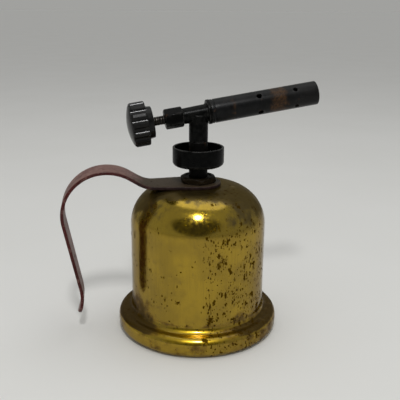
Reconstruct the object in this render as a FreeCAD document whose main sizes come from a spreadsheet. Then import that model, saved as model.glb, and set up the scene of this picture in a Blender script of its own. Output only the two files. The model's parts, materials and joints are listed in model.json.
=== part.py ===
import FreeCAD, Part
import math
import os
import re

import Sketcher

# Small brass alcohol blowtorch, in millimetres.
# The origin is the middle of the foot on the bench, +Z is up and the burner tube points along +X.

LEFT = 1
RIGHT = -1

# Driving dimensions: name, value and what it measures.
SIZES = [
    ("tank_radius", 38.1, "outside of the straight tank wall"),
    ("tank_height", 84.3, "bench to the flat top of the dome"),
    ("tank_wall", 0.9, "drawn brass sheet"),
    ("land_radius", 16.3, "flat top of the dome"),
    ("foot_flare", 7.9, "how far the foot stands out from the wall"),
    ("foot_height", 11.6, "bench to the top of the foot"),
    ("foot_round", 3.4, "upper round of the foot"),
    ("foot_curl", 4.5, "lower round of the foot"),
    ("root_fillet", 3.0, "hollow between foot and wall"),
    ("rest_width", 3.0, "flat ring that stands on the bench"),
    ("bottom_wall", 0.9, "sheet of the bottom plate"),
    ("dish_rise", 8.0, "how far the bottom plate rises to its middle"),
    ("dish_margin", 1.5, "flat left beside the foot ring and beside the bush"),
    ("bush_radius", 8.5, "filler bush where it passes the bottom plate"),
    ("bush_flange_radius", 11.0, "filler bush flange inside the tank"),
    ("bush_flange", 1.2, "flange thickness"),
    ("bush_drop", 1.2, "bush standing below the bottom plate"),
    ("bush_length", 7.0, "whole bush"),
    ("plug_radius", 6.0, "filler thread"),
    ("plug_head", 4.0, "height of the plug's head"),
    ("plug_flats", 14.0, "across the flats of the plug"),
    ("plug_slot", 1.6, "width of the plug's slot"),
    ("plug_slot_depth", 1.5, "depth of the plug's slot"),
    ("plug_spare", 0.6, "bush thread left above the plug"),
    ("gasket_radius", 8.8, "filler gasket"),
    ("gasket_thickness", 1.0, "filler gasket"),
    ("spud_radius", 7.4, "thread of the tank spud"),
    ("spud_boss_radius", 8.0, "spud below its flange"),
    ("spud_flange_radius", 12.0, "flange soldered under the dome"),
    ("spud_flange", 1.5, "flange thickness"),
    ("spud_depth", 9.0, "boss below the flange"),
    ("spud_shoulder", 4.0, "step in the spud's bore, from its lower end"),
    ("spud_recess", 0.4, "spud end below the top of the nut"),
    ("strap_thickness", 1.8, "handle strip"),
    ("eye_radius", 12.7, "round end of the handle under the nut"),
    ("strap_flat", 24.7, "flat of the handle on the dome, from the tank's axis"),
    ("bend_radius", 17.0, "first bend, upwards"),
    ("bend_angle", 31.4, "degrees turned by the first bend"),
    ("rise_length", 5.6, "straight between the first bend and the arch"),
    ("arch_radius", 24.4, "arch over the fingers"),
    ("arch_angle", 132.7, "degrees turned by the arch"),
    ("grip_length", 39.6, "straight down the grip"),
    ("curl_radius", 26.2, "outward curl at the tip"),
    ("curl_angle", 35.5, "degrees turned by the curl"),
    ("neck_reach", 27.0, "distance from the tank's axis where the eye has narrowed"),
    ("neck_half_width", 9.4, "half the strip's width there"),
    ("arch_half_width", 8.5, "half the strip's width past the arch"),
    ("grip_half_width", 8.3, "half the strip's width at the top of the grip"),
    ("tip_half_width", 6.6, "half the strip's width at the tip"),
    ("handle_swing", 2.8, "degrees the handle stands off the burner's plane"),
    ("nut_flats", 18.4, "across the flats of the handle nut"),
    ("nut_height", 3.4, "handle nut"),
    ("nut_chamfer", 0.7, "handle nut"),
    ("pipe_radius", 5.2, "standpipe and the neck of the burner head"),
    ("pipe_spigot_radius", 4.4, "end of the standpipe in the burner head"),
    ("pipe_spigot", 5.0, "length of that end"),
    ("joint_clear", 3.0, "rim of the cup to the joint of standpipe and burner head"),
    ("cup_clear", 6.1, "handle nut to the underside of the priming cup"),
    ("cup_radius", 14.3, "outside of the priming cup"),
    ("cup_depth", 10.4, "underside to rim"),
    ("cup_wall", 1.2, "priming cup"),
    ("cup_corner", 2.2, "round at the foot of the cup"),
    ("cup_collar", 1.6, "wall of the collar that grips the standpipe"),
    ("cup_collar_height", 4.0, "underside to the top of the collar"),
    ("wick_tube_radius", 4.0, "outside of the wick tube"),
    ("wick_tube_wall", 0.6, "wick tube"),
    ("wick_tube_clear", 4.0, "wick tube above the filler bush"),
    ("wick_gap", 0.3, "room round the wick"),
    ("wick_tail", 2.0, "wick below its tube"),
    ("wick_rise", 9.0, "wick above the joint of standpipe and head"),
    ("neck_length", 15.2, "that joint to where the burner's axis crosses the tank's"),
    ("tube_tilt", 8.8, "degrees the burner points up"),
    ("gland_face", 8.6, "crossing to the shoulder behind the packing nut"),
    ("gland_radius", 4.0, "thread under the packing nut"),
    ("gland_length", 7.4, "thread under the packing nut"),
    ("arm_small_radius", 4.2, "arm of the head at the packing nut"),
    ("arm_large_radius", 4.5, "arm of the head at the collar"),
    ("collar_start", 4.8, "crossing to the collar"),
    ("collar_width", 1.8, "collar behind the burner tube"),
    ("collar_lip", 0.2, "collar standing out from the burner tube"),
    ("socket_wall", 0.6, "wall of the burner tube round its seat"),
    ("nose_length", 6.4, "seat of the burner tube"),
    ("chamber_radius", 3.3, "packing chamber"),
    ("chamber_depth", 5.0, "packing chamber"),
    ("ring_thickness", 1.2, "one packing ring"),
    ("ring_gap", 0.05, "play between packing rings"),
    ("washer_proud", 0.4, "packing washer standing out of its chamber"),
    ("gland_nut_flats", 10.0, "across the flats of the packing nut"),
    ("gland_nut_web", 2.5, "end wall of the packing nut"),
    ("gland_nut_play", 0.3, "packing nut to the shoulder of the head"),
    ("gland_nut_chamfer", 0.5, "packing nut"),
    ("tube_radius", 6.55, "outside of the burner tube"),
    ("tube_wall", 0.95, "burner tube"),
    ("tube_length", 60.5, "collar to the mouth"),
    ("groove_place", 1.5, "groove from the collar end of the tube"),
    ("groove_width", 0.6, "groove round the tube"),
    ("groove_depth", 0.25, "groove round the tube"),
    ("inner_hole_place", 27.0, "first ring of air holes from the collar"),
    ("inner_hole_radius", 1.6, "first ring of air holes"),
    ("outer_hole_place", 47.7, "second ring of air holes from the collar"),
    ("outer_hole_radius", 1.3, "second ring of air holes"),
    ("hole_clocking", 45.0, "degrees the air holes stand off the side"),
    ("jet_radius", 3.0, "jet in the nose of the head"),
    ("jet_length", 4.0, "jet in the nose of the head"),
    ("jet_cone", 2.0, "length of the seat in the jet"),
    ("jet_inlet_radius", 1.0, "wide end of the seat"),
    ("jet_orifice_radius", 0.25, "gas hole"),
    ("needle_radius", 0.8, "needle"),
    ("needle_tail", 4.0, "needle inside the stem"),
    ("stem_radius", 2.5, "valve stem"),
    ("stem_nose", 2.5, "end of the stem from the crossing, valve shut"),
    ("stem_show", 6.4, "stem seen between packing nut and knob, valve shut"),
    ("stem_spare", 0.5, "end of the stem to the end of its bush"),
    ("boss_radius", 8.5, "boss behind the knob"),
    ("boss_length", 3.2, "boss behind the knob"),
    ("knob_radius", 12.0, "outside of the knob's lobes"),
    ("knob_width", 8.3, "fluted part of the knob"),
    ("knob_crown", 2.6, "height of the knob's domed front"),
    ("knob_bevel", 1.4, "edge between lobes and front"),
    ("flute_radius", 2.0, "one flute of the knob"),
    ("flute_depth", 1.0, "one flute of the knob"),
    ("flute_clocking", 7.0, "degrees the first flute stands off the top"),
    ("insert_radius", 4.5, "metal bush in the knob"),
    ("insert_length", 10.1, "metal bush in the knob"),
    ("fit_gap", 0.05, "radial play of pieces that stay put"),
    ("running_gap", 0.06, "radial play of pieces that turn or slide"),
]
FLUTES = 14
PACKING_RINGS = 3
HEX_SIDES = 6
HEX_HALF_TURN = 180 / HEX_SIDES

# Radii and levels that follow from the driving dimensions.
FOOT_RADIUS = "(tank_radius + foot_flare)"
CURL_RADIUS = f"({FOOT_RADIUS} - foot_curl)"
REST_RADIUS = f"({CURL_RADIUS} - rest_width)"
SHOULDER_RADIUS = "(tank_radius - land_radius)"
SHOULDER_HEIGHT = f"(tank_height - {SHOULDER_RADIUS})"
DISH_HEIGHT = "(tank_wall + dish_rise)"
BUSH_HEIGHT = f"({DISH_HEIGHT} - bush_drop)"
BUSH_TOP = f"({BUSH_HEIGHT} + bush_length)"
GASKET_HEIGHT = f"({BUSH_HEIGHT} - gasket_thickness)"
SPUD_HEIGHT = "(tank_height - tank_wall - spud_flange - spud_depth)"
PIPE_HEIGHT = f"({SPUD_HEIGHT} + spud_shoulder)"
NUT_HEIGHT = "(tank_height + strap_thickness)"
NUT_TOP = f"({NUT_HEIGHT} + nut_height)"
CUP_HEIGHT = f"({NUT_TOP} + cup_clear)"
JOINT_HEIGHT = f"({CUP_HEIGHT} + cup_depth + joint_clear)"
AXIS_HEIGHT = f"({JOINT_HEIGHT} + neck_length)"
WICK_TUBE_HEIGHT = f"({BUSH_TOP} + wick_tube_clear)"
WICK_HEIGHT = f"({WICK_TUBE_HEIGHT} - wick_tail)"
WICK_BORE = "(wick_tube_radius - wick_tube_wall)"
STRAP_REACH = (
    "(strap_flat + (bend_radius + arch_radius) * sin(bend_angle * 1 deg)"
    " + rise_length * cos(bend_angle * 1 deg) + arch_radius + strap_thickness)"
)

# Places along the burner's axis, from its crossing with the tank's axis, positive towards the mouth.
GLAND_END = "(-gland_face - gland_length)"
CHAMBER_FLOOR = f"({GLAND_END} + chamber_depth)"
WASHER_OUTER = f"({GLAND_END} - washer_proud)"
WASHER_INNER = f"({CHAMBER_FLOOR} - {PACKING_RINGS} * ring_thickness)"
GLAND_NUT_OUTER = f"({WASHER_OUTER} - gland_nut_web)"
GLAND_NUT_LENGTH = f"(-gland_face - gland_nut_play - {GLAND_NUT_OUTER})"
TUBE_START = "(collar_start + collar_width)"
TUBE_BORE = "(tube_radius - tube_wall)"
TUBE_SOCKET = "(tube_radius - socket_wall)"
NOSE_RADIUS = f"({TUBE_SOCKET} - fit_gap)"
COLLAR_RADIUS = "(tube_radius + collar_lip)"
NOSE_END = f"({TUBE_START} + nose_length)"
JET_START = f"({NOSE_END} - jet_length)"
NEEDLE_START = "(-stem_nose - needle_tail)"
KNOB_FACE = f"({GLAND_NUT_OUTER} - stem_show)"
KNOB_START = f"({KNOB_FACE} - boss_length - knob_width - knob_crown)"
INSERT_START = f"({KNOB_FACE} - insert_length)"
STEM_START = f"({INSERT_START} + stem_spare)"

doc = FreeCAD.newDocument("Blowtorch")
sheet = doc.addObject("Spreadsheet::Sheet", "Sizes")


def fill_sheet():
    for row, (name, value, meaning) in enumerate(SIZES, start=1):
        sheet.set(f"A{row}", name)
        sheet.set(f"B{row}", str(value))
        sheet.setAlias(f"B{row}", name)
        sheet.set(f"C{row}", meaning)
    doc.recompute()


def bound(text):
    """The same formula with every size's name turned into its cell."""
    return re.sub(r"\b[a-z]+(?:_[a-z]+)+\b", r"Sizes.\g<0>", text)


def number(text):
    return float(sheet.evalExpression(bound(text)))


def bind(item, **formulas):
    for name, text in formulas.items():
        item.setExpression(name, bound(text))


def place(item, along="0", up="0", yaw="0", pitch="0"):
    vector = f"create(<<vector>>; {along}; 0; {up})"
    rotation = f"create(<<rotation>>; {yaw}; {pitch}; 0)"
    bind(item, Placement=f"create(<<placement>>; {vector}; {rotation})")


def place_on_burner(item, distance):
    """Put the local X axis on the burner's axis, that far from the crossing."""
    along = f"{distance} * cos(tube_tilt * 1 deg)"
    up = f"{AXIS_HEIGHT} + {distance} * sin(tube_tilt * 1 deg)"
    place(item, along, up, pitch="-tube_tilt")


def plane(body, role):
    return next(item for item in body.Origin.OriginFeatures if item.Role == role)


def new_body(label):
    body = doc.addObject("PartDesign::Body", label)
    body.Label = label
    return body


def new_sketch(body, role):
    sketch = body.newObject("Sketcher::SketchObject", body.Name + "_sketch")
    sketch.AttachmentSupport = [(plane(body, role), "")]
    sketch.MapMode = "FlatFace"
    return sketch


def dimension(sketch, kind, references, text):
    value = number(text)
    index = sketch.addConstraint(Sketcher.Constraint(kind, *references, value))
    sketch.setExpression(f"Constraints[{index}]", bound(text))


def pin(sketch, edge, end, x, y):
    """Dimension a point from the sketch's origin."""
    for kind, axis, text in (("DistanceX", -2, x), ("DistanceY", -1, y)):
        if text == "0":
            sketch.addConstraint(Sketcher.Constraint("PointOnObject", edge, end, axis))
        elif number(text) > 0:
            dimension(sketch, kind, (-1, 1, edge, end), text)
        else:
            dimension(sketch, kind, (edge, end, -1, 1), f"-({text})")


def arc_edge(start, end, radius, side):
    """An arc of under half a circle that turns to the given side."""
    chord = end - start
    offset = math.sqrt(max(radius**2 - chord.Length**2 / 4, 0.0))
    normal = FreeCAD.Vector(-chord.y, chord.x, 0).normalize()
    centre = (start + end) / 2 + normal * offset * side
    angles = [math.atan2(p.y - centre.y, p.x - centre.x) for p in (start, end)]
    circle = Part.Circle(centre, FreeCAD.Vector(0, 0, 1), radius)
    return Part.ArcOfCircle(circle, *angles[::side])


def draw(sketch, corners):
    """A closed outline. A corner is (x, y), or (x, y, radius, side) where an arc leaves it."""
    points = [FreeCAD.Vector(number(c[0]), number(c[1]), 0) for c in corners]
    ends = []
    for index, corner in enumerate(corners):
        start = points[index]
        end = points[(index + 1) % len(points)]
        if len(corner) == 2:
            edge = sketch.addGeometry(Part.LineSegment(start, end))
            ends.append((edge, 1, 2))
        else:
            radius, side = corner[2:]
            edge = sketch.addGeometry(arc_edge(start, end, number(radius), side))
            ends.append((edge, 1, 2) if side == LEFT else (edge, 2, 1))
    for index, (edge, first, last) in enumerate(ends):
        corner = corners[index]
        following, following_first, _ = ends[(index + 1) % len(ends)]
        join = Sketcher.Constraint("Coincident", edge, last, following, following_first)
        sketch.addConstraint(join)
        pin(sketch, edge, first, corner[0], corner[1])
        if len(corner) > 2:
            dimension(sketch, "Radius", (edge,), corner[2])


def draw_circle(sketch, x, y, radius):
    centre = FreeCAD.Vector(number(x), number(y), 0)
    circle = Part.Circle(centre, FreeCAD.Vector(0, 0, 1), number(radius))
    edge = sketch.addGeometry(circle)
    pin(sketch, edge, 3, x, y)
    dimension(sketch, "Radius", (edge,), radius)


def revolve(label, corners, axis):
    body = new_body(label)
    sketch = new_sketch(body, "XZ_Plane")
    draw(sketch, corners)
    turn = body.newObject("PartDesign::Revolution", label + "_turn")
    turn.Profile = sketch
    turn.ReferenceAxis = (sketch, [axis])
    turn.Angle = 360
    return body


def upright(label, corners):
    """A turned piece with corners as (radius, height)."""
    return revolve(label, corners, "V_Axis")


def lengthwise(label, corners):
    """A turned piece with corners as (along, radius)."""
    return revolve(label, corners, "H_Axis")


def corner_radius(flats):
    """Middle to corner of a hexagon."""
    return f"{flats} / (2 * cos({HEX_HALF_TURN} * 1 deg))"


def hexagon(label, flats, height):
    prism = doc.addObject("Part::Prism", label)
    prism.Polygon = HEX_SIDES
    bind(prism, Circumradius=corner_radius(flats), Height=height)
    return prism


def boolean(kind, label, base, tool):
    result = doc.addObject("Part::" + kind, label)
    result.Label = label
    result.Base = base
    result.Tool = tool
    return result


def fuse_all(label, items):
    result = doc.addObject("Part::MultiFuse", label)
    result.Shapes = items
    return result


def cylinder(label, radius, height, base="0"):
    item = doc.addObject("Part::Cylinder", label)
    bind(item, Radius=radius, Height=height)
    place(item, up=base)
    return item


def cut_through(body, sketch, sides):
    pocket = body.newObject("PartDesign::Pocket", sketch.Name + "_cut")
    pocket.Profile = sketch
    pocket.Type = "ThroughAll"
    pocket.SideType = sides
    return pocket


def polar(body, feature, axis, angle, count):
    pattern = body.newObject("PartDesign::PolarPattern", feature.Name + "_ring")
    pattern.Originals = [feature]
    pattern.Axis = (plane(body, axis), [""])
    pattern.Angle = angle
    pattern.Occurrences = count
    body.Tip = pattern


def tank_shell():
    hole = "spud_radius + fit_gap"
    return upright("tank_shell", [
        (hole, "tank_height"),
        ("land_radius", "tank_height", SHOULDER_RADIUS, RIGHT),
        ("tank_radius", SHOULDER_HEIGHT),
        ("tank_radius", "foot_height + root_fillet", "root_fillet", LEFT),
        ("tank_radius + root_fillet", "foot_height"),
        (f"{FOOT_RADIUS} - foot_round", "foot_height", "foot_round", RIGHT),
        (FOOT_RADIUS, "foot_height - foot_round"),
        (FOOT_RADIUS, "foot_curl", "foot_curl", RIGHT),
        (CURL_RADIUS, "0"),
        (REST_RADIUS, "0"),
        (REST_RADIUS, "tank_wall"),
        (CURL_RADIUS, "tank_wall", "foot_curl - tank_wall", LEFT),
        (f"{FOOT_RADIUS} - tank_wall", "foot_curl"),
        (f"{FOOT_RADIUS} - tank_wall", "foot_height - foot_round", "foot_round - tank_wall", LEFT),
        (f"{FOOT_RADIUS} - foot_round", "foot_height - tank_wall"),
        ("tank_radius + root_fillet", "foot_height - tank_wall", "root_fillet + tank_wall", RIGHT),
        ("tank_radius - tank_wall", "foot_height + root_fillet"),
        ("tank_radius - tank_wall", SHOULDER_HEIGHT, f"{SHOULDER_RADIUS} - tank_wall", LEFT),
        ("land_radius", "tank_height - tank_wall"),
        (hole, "tank_height - tank_wall"),
    ])


def tank_bottom():
    hole = "bush_radius + fit_gap"
    flat = "bush_flange_radius + dish_margin"
    edge = f"{REST_RADIUS} - dish_margin"
    return upright("tank_bottom", [
        (CURL_RADIUS, "tank_wall"),
        (edge, "tank_wall"),
        (flat, DISH_HEIGHT),
        (hole, DISH_HEIGHT),
        (hole, f"{DISH_HEIGHT} + bottom_wall"),
        (flat, f"{DISH_HEIGHT} + bottom_wall"),
        (edge, "tank_wall + bottom_wall"),
        (CURL_RADIUS, "tank_wall + bottom_wall"),
    ])


def filler_bush():
    bore = "plug_radius + running_gap"
    seat = "bush_drop + bottom_wall"
    body = upright("filler_bush", [
        (bore, "0"),
        ("bush_radius", "0"),
        ("bush_radius", seat),
        ("bush_flange_radius", seat),
        ("bush_flange_radius", f"{seat} + bush_flange"),
        ("bush_radius", f"{seat} + bush_flange"),
        ("bush_radius", "bush_length"),
        (bore, "bush_length"),
    ])
    place(body, up=BUSH_HEIGHT)
    return body


def filler_gasket():
    bore = "plug_radius + running_gap"
    body = upright("filler_gasket", [
        (bore, "0"),
        ("gasket_radius", "0"),
        ("gasket_radius", "gasket_thickness"),
        (bore, "gasket_thickness"),
    ])
    place(body, up=GASKET_HEIGHT)
    return body


def filler_plug():
    head = hexagon("plug_head_hexagon", "plug_flats", "plug_head")
    thread_length = "plug_head + gasket_thickness + bush_length - plug_spare"
    thread = cylinder("plug_thread", "plug_radius", thread_length)
    blank = boolean("Fuse", "plug_blank", head, thread)
    slot = doc.addObject("Part::Box", "plug_slot_cutter")
    bind(slot, Length="2 * plug_flats", Width="plug_slot", Height="plug_slot_depth")
    slot.setExpression("Placement.Base.x", bound("-plug_flats"))
    slot.setExpression("Placement.Base.y", bound("-plug_slot / 2"))
    plug = boolean("Cut", "filler_plug", blank, slot)
    place(plug, up=f"{GASKET_HEIGHT} - plug_head")
    return plug


def tank_spud():
    wick_bore = "wick_tube_radius + fit_gap"
    pipe_bore = "pipe_radius + fit_gap"
    flange_top = "spud_depth + spud_flange"
    top = f"{NUT_TOP} - spud_recess - {SPUD_HEIGHT}"
    body = upright("tank_spud", [
        (wick_bore, "0"),
        ("spud_boss_radius", "0"),
        ("spud_boss_radius", "spud_depth"),
        ("spud_flange_radius", "spud_depth"),
        ("spud_flange_radius", flange_top),
        ("spud_radius", flange_top),
        ("spud_radius", top),
        (pipe_bore, top),
        (pipe_bore, "spud_shoulder"),
        (wick_bore, "spud_shoulder"),
    ])
    place(body, up=SPUD_HEIGHT)
    return body


def step(point, heading, length):
    """Where a straight of that length ends, as a formula. Headings are in degrees."""
    x, y = point
    return (
        f"{x} + {length} * cos(({heading}) * 1 deg)",
        f"{y} + {length} * sin(({heading}) * 1 deg)",
    )


def bend(point, heading, radius, turn, side):
    """Where an arc of that radius ends, as a formula."""
    x, y = point
    old = f"({heading}) * 1 deg"
    new = f"({heading} + {side} * {turn}) * 1 deg"
    return (
        f"{x} + {side} * {radius} * (sin({new}) - sin({old}))",
        f"{y} + {side} * {radius} * (cos({old}) - cos({new}))",
    )


def strap_face(lift):
    """One face of the handle in side view, that far above the middle of the strip."""
    bent = "180 - bend_angle"
    arched = f"{bent} + arch_angle"
    rise_radius = f"(bend_radius - {lift})"
    arch_radius = f"(arch_radius + {lift})"
    curl_radius = f"(curl_radius - {lift})"
    level = f"strap_thickness / 2 + {lift}"
    eye_end = ("eye_radius", level)
    flat_end = ("-strap_flat", level)
    bend_end = bend(flat_end, "180", rise_radius, "bend_angle", RIGHT)
    rise_end = step(bend_end, bent, "rise_length")
    arch_end = bend(rise_end, bent, arch_radius, "arch_angle", LEFT)
    grip_end = step(arch_end, arched, "grip_length")
    tip = bend(grip_end, arched, curl_radius, "curl_angle", RIGHT)
    points = [eye_end, flat_end, bend_end, rise_end, arch_end, grip_end, tip]
    arcs = [(), (rise_radius, RIGHT), (), (arch_radius, LEFT), (), (curl_radius, RIGHT)]
    return points, arcs


def strap_outline():
    """Both faces of the handle as one closed outline, out along the upper and back."""
    upper, arcs_out = strap_face("strap_thickness / 2")
    lower, arcs = strap_face("(-strap_thickness / 2)")
    arcs_back = [arc and (arc[0], -arc[1]) for arc in reversed(arcs)]
    out = [point + arc for point, arc in zip(upper, arcs_out + [()])]
    back = [point + arc for point, arc in zip(reversed(lower), arcs_back + [()])]
    return out + back


def plan_outline():
    """The handle from above: a round eye that narrows into the strip."""
    return [
        ("0", "-eye_radius", "eye_radius", LEFT),
        ("eye_radius", "0", "eye_radius", LEFT),
        ("0", "eye_radius"),
        ("-neck_reach", "neck_half_width"),
        (f"-{STRAP_REACH}", "arch_half_width"),
        (f"-{STRAP_REACH}", "-arch_half_width"),
        ("-neck_reach", "-neck_half_width"),
    ]


def grip_outline():
    """The grip seen along the burner: it narrows downwards to a round tip."""
    middle, _ = strap_face("0")
    grip_top = middle[4][1]
    tip_end = middle[-1][1]
    tip_start = f"{tip_end} + tip_half_width"
    full_width = f"{grip_top} + arch_radius"
    top = "2 * arch_radius"
    return [
        ("0", tip_end, "tip_half_width", LEFT),
        ("tip_half_width", tip_start),
        ("grip_half_width", grip_top),
        ("eye_radius", full_width),
        ("eye_radius", top),
        ("-eye_radius", top),
        ("-eye_radius", full_width),
        ("-grip_half_width", grip_top),
        ("-tip_half_width", tip_start, "tip_half_width", LEFT),
    ]


def trim_sketch(body, role, outline):
    """An outline inside a large square, so that cutting it leaves only the outline."""
    sketch = new_sketch(body, role)
    draw(sketch, outline)
    far = f"(tank_height + {STRAP_REACH} + grip_length)"
    near = f"-{far}"
    draw(sketch, [(near, near), (far, near), (far, far), (near, far)])
    return sketch


def handle():
    body = new_body("handle")
    side_view = new_sketch(body, "XZ_Plane")
    draw(side_view, strap_outline())
    strip = body.newObject("PartDesign::Pad", "handle_strip")
    strip.Profile = side_view
    strip.SideType = "Symmetric"
    bind(strip, Length="2 * eye_radius")
    cut_through(body, trim_sketch(body, "XY_Plane", plan_outline()), "Symmetric")
    grip_view = trim_sketch(body, "YZ_Plane", grip_outline())
    grip_view.setExpression("AttachmentOffset.Base.z", bound("-strap_flat - bend_radius"))
    cut_through(body, grip_view, "One side")
    eye = new_sketch(body, "XY_Plane")
    draw_circle(eye, "0", "0", "spud_radius + fit_gap")
    cut_through(body, eye, "Symmetric")
    place(body, up="tank_height", yaw="-handle_swing")
    return body


def handle_nut():
    hole = "spud_radius + fit_gap"
    blank = hexagon("handle_nut_hexagon", "nut_flats", "nut_height")
    turned = upright("handle_nut_turned", [
        (hole, "0"),
        ("nut_flats", "0"),
        ("nut_flats", "nut_height - nut_chamfer"),
        (corner_radius("nut_flats"), "nut_height - nut_chamfer"),
        ("nut_flats / 2", "nut_height"),
        (hole, "nut_height"),
    ])
    nut = boolean("Common", "handle_nut", blank, turned)
    place(nut, up=NUT_HEIGHT, yaw=str(HEX_HALF_TURN))
    return nut


def standpipe():
    shoulder = f"{JOINT_HEIGHT} - {PIPE_HEIGHT}"
    end = f"{shoulder} + pipe_spigot"
    body = upright("standpipe", [
        (WICK_BORE, "0"),
        ("pipe_radius", "0"),
        ("pipe_radius", shoulder),
        ("pipe_spigot_radius", shoulder),
        ("pipe_spigot_radius", end),
        (WICK_BORE, end),
    ])
    place(body, up=PIPE_HEIGHT)
    return body


def priming_cup():
    hole = "pipe_radius + fit_gap"
    collar = "pipe_radius + cup_collar"
    body = upright("priming_cup", [
        (hole, "0"),
        ("cup_radius - cup_corner", "0", "cup_corner", LEFT),
        ("cup_radius", "cup_corner"),
        ("cup_radius", "cup_depth"),
        ("cup_radius - cup_wall", "cup_depth"),
        ("cup_radius - cup_wall", "cup_corner", "cup_corner - cup_wall", RIGHT),
        ("cup_radius - cup_corner", "cup_wall"),
        (collar, "cup_wall"),
        (collar, "cup_collar_height"),
        (hole, "cup_collar_height"),
    ])
    place(body, up=CUP_HEIGHT)
    return body


def wick_tube():
    length = f"{PIPE_HEIGHT} - {WICK_TUBE_HEIGHT}"
    body = upright("wick_tube", [
        (WICK_BORE, "0"),
        ("wick_tube_radius", "0"),
        ("wick_tube_radius", length),
        (WICK_BORE, length),
    ])
    place(body, up=WICK_TUBE_HEIGHT)
    return body


def wick():
    length = f"{JOINT_HEIGHT} + wick_rise - {WICK_HEIGHT}"
    body = cylinder("wick", f"{WICK_BORE} - wick_gap", length, WICK_HEIGHT)
    body.Label = "wick"
    return body


def head_arm():
    """The arm of the head, solid: gland thread, arm, collar and the seat of the burner tube."""
    shoulder = f"(-gland_face - {GLAND_END})"
    collar = f"(collar_start - {GLAND_END})"
    seat = f"({TUBE_START} - {GLAND_END})"
    end = f"({NOSE_END} - {GLAND_END})"
    arm = lengthwise("head_arm", [
        ("0", "0"),
        ("0", "gland_radius"),
        (shoulder, "gland_radius"),
        (shoulder, "arm_small_radius"),
        (collar, "arm_large_radius"),
        (collar, COLLAR_RADIUS),
        (seat, COLLAR_RADIUS),
        (seat, NOSE_RADIUS),
        (end, NOSE_RADIUS),
        (end, "0"),
    ])
    place_on_burner(arm, GLAND_END)
    return arm


def head_bores():
    """The way through the arm: packing chamber, stem thread and the seat of the jet."""
    stem = "stem_radius + running_gap"
    jet_seat = f"({JET_START} - {GLAND_END})"
    end = f"({NOSE_END} - {GLAND_END})"
    bores = lengthwise("head_bores", [
        ("0", "0"),
        ("0", "chamber_radius"),
        ("chamber_depth", "chamber_radius"),
        ("chamber_depth", stem),
        (jet_seat, stem),
        (jet_seat, "jet_radius + fit_gap"),
        (end, "jet_radius + fit_gap"),
        (end, "0"),
    ])
    place_on_burner(bores, GLAND_END)
    return bores


def burner_head():
    neck = cylinder("head_neck", "pipe_radius", "neck_length", JOINT_HEIGHT)
    crown = doc.addObject("Part::Sphere", "head_crown")
    bind(crown, Radius="pipe_radius")
    place(crown, up=AXIS_HEIGHT)
    casting = fuse_all("head_casting", [neck, crown, head_arm()])
    socket = cylinder("head_socket", "pipe_spigot_radius + fit_gap", "pipe_spigot", JOINT_HEIGHT)
    rise = cylinder("head_rise", WICK_BORE, "neck_length", JOINT_HEIGHT)
    ways = fuse_all("head_ways", [socket, rise, head_bores()])
    return boolean("Cut", "burner_head", casting, ways)


def jet():
    body = lengthwise("jet", [
        ("0", "jet_inlet_radius"),
        ("0", "jet_radius"),
        ("jet_length", "jet_radius"),
        ("jet_length", "jet_orifice_radius"),
        ("jet_cone", "jet_orifice_radius"),
    ])
    place_on_burner(body, JET_START)
    return body


def burner_tube():
    groove_floor = "tube_radius - groove_depth"
    body = lengthwise("burner_tube", [
        ("0", TUBE_SOCKET),
        ("0", "tube_radius"),
        ("groove_place", "tube_radius"),
        ("groove_place", groove_floor),
        ("groove_place + groove_width", groove_floor),
        ("groove_place + groove_width", "tube_radius"),
        ("tube_length", "tube_radius"),
        ("tube_length", TUBE_BORE),
        ("nose_length", TUBE_BORE),
        ("nose_length", TUBE_SOCKET),
    ])
    holes = new_sketch(body, "XZ_Plane")
    turn = "create(<<rotation>>; 0; 0; hole_clocking)"
    bind(holes, AttachmentOffset=f"create(<<placement>>; create(<<vector>>; 0; 0; 0); {turn})")
    draw_circle(holes, "inner_hole_place", "0", "inner_hole_radius")
    draw_circle(holes, "outer_hole_place", "0", "outer_hole_radius")
    polar(body, cut_through(body, holes, "Symmetric"), "X_Axis", 90, 2)
    place_on_burner(body, TUBE_START)
    return body


def packing_nut():
    stem = "stem_radius + running_gap"
    thread = "gland_radius + fit_gap"
    flat = "gland_nut_flats / 2"
    corner = corner_radius("gland_nut_flats")
    blank = hexagon("packing_nut_hexagon", "gland_nut_flats", GLAND_NUT_LENGTH)
    place(blank, pitch="90")
    turned = lengthwise("packing_nut_turned", [
        ("0", stem),
        ("0", flat),
        ("gland_nut_chamfer", corner),
        (f"{GLAND_NUT_LENGTH} - gland_nut_chamfer", corner),
        (GLAND_NUT_LENGTH, flat),
        (GLAND_NUT_LENGTH, thread),
        ("gland_nut_web", thread),
        ("gland_nut_web", stem),
    ])
    nut = boolean("Common", "packing_nut", blank, turned)
    place_on_burner(nut, GLAND_NUT_OUTER)
    return nut


def gland_ring(label, thickness, start):
    """A ring that fills the packing chamber round the stem."""
    ring = lengthwise(label, [
        ("0", "stem_radius + running_gap"),
        ("0", "chamber_radius - fit_gap"),
        (thickness, "chamber_radius - fit_gap"),
        (thickness, "stem_radius + running_gap"),
    ])
    place_on_burner(ring, start)
    return ring


def packing_washer():
    return gland_ring("packing_washer", f"{WASHER_INNER} - {WASHER_OUTER}", WASHER_OUTER)


def packing_rings():
    rings = doc.addObject("Part::Compound", "packing_rings")
    rings.Label = "packing_rings"
    thickness = "ring_thickness - ring_gap"
    starts = [f"({WASHER_INNER} + {index} * ring_thickness)" for index in range(PACKING_RINGS)]
    rings.Links = [gland_ring(f"packing_ring_{i}", thickness, s) for i, s in enumerate(starts)]
    return rings


def valve_stem():
    length = f"(-stem_nose - {STEM_START})"
    hole = "needle_radius + running_gap"
    body = lengthwise("valve_stem", [
        ("0", "0"),
        ("0", "stem_radius"),
        (length, "stem_radius"),
        (length, hole),
        (f"{length} - needle_tail", hole),
        (f"{length} - needle_tail", "0"),
    ])
    place_on_burner(body, STEM_START)
    return body


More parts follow.
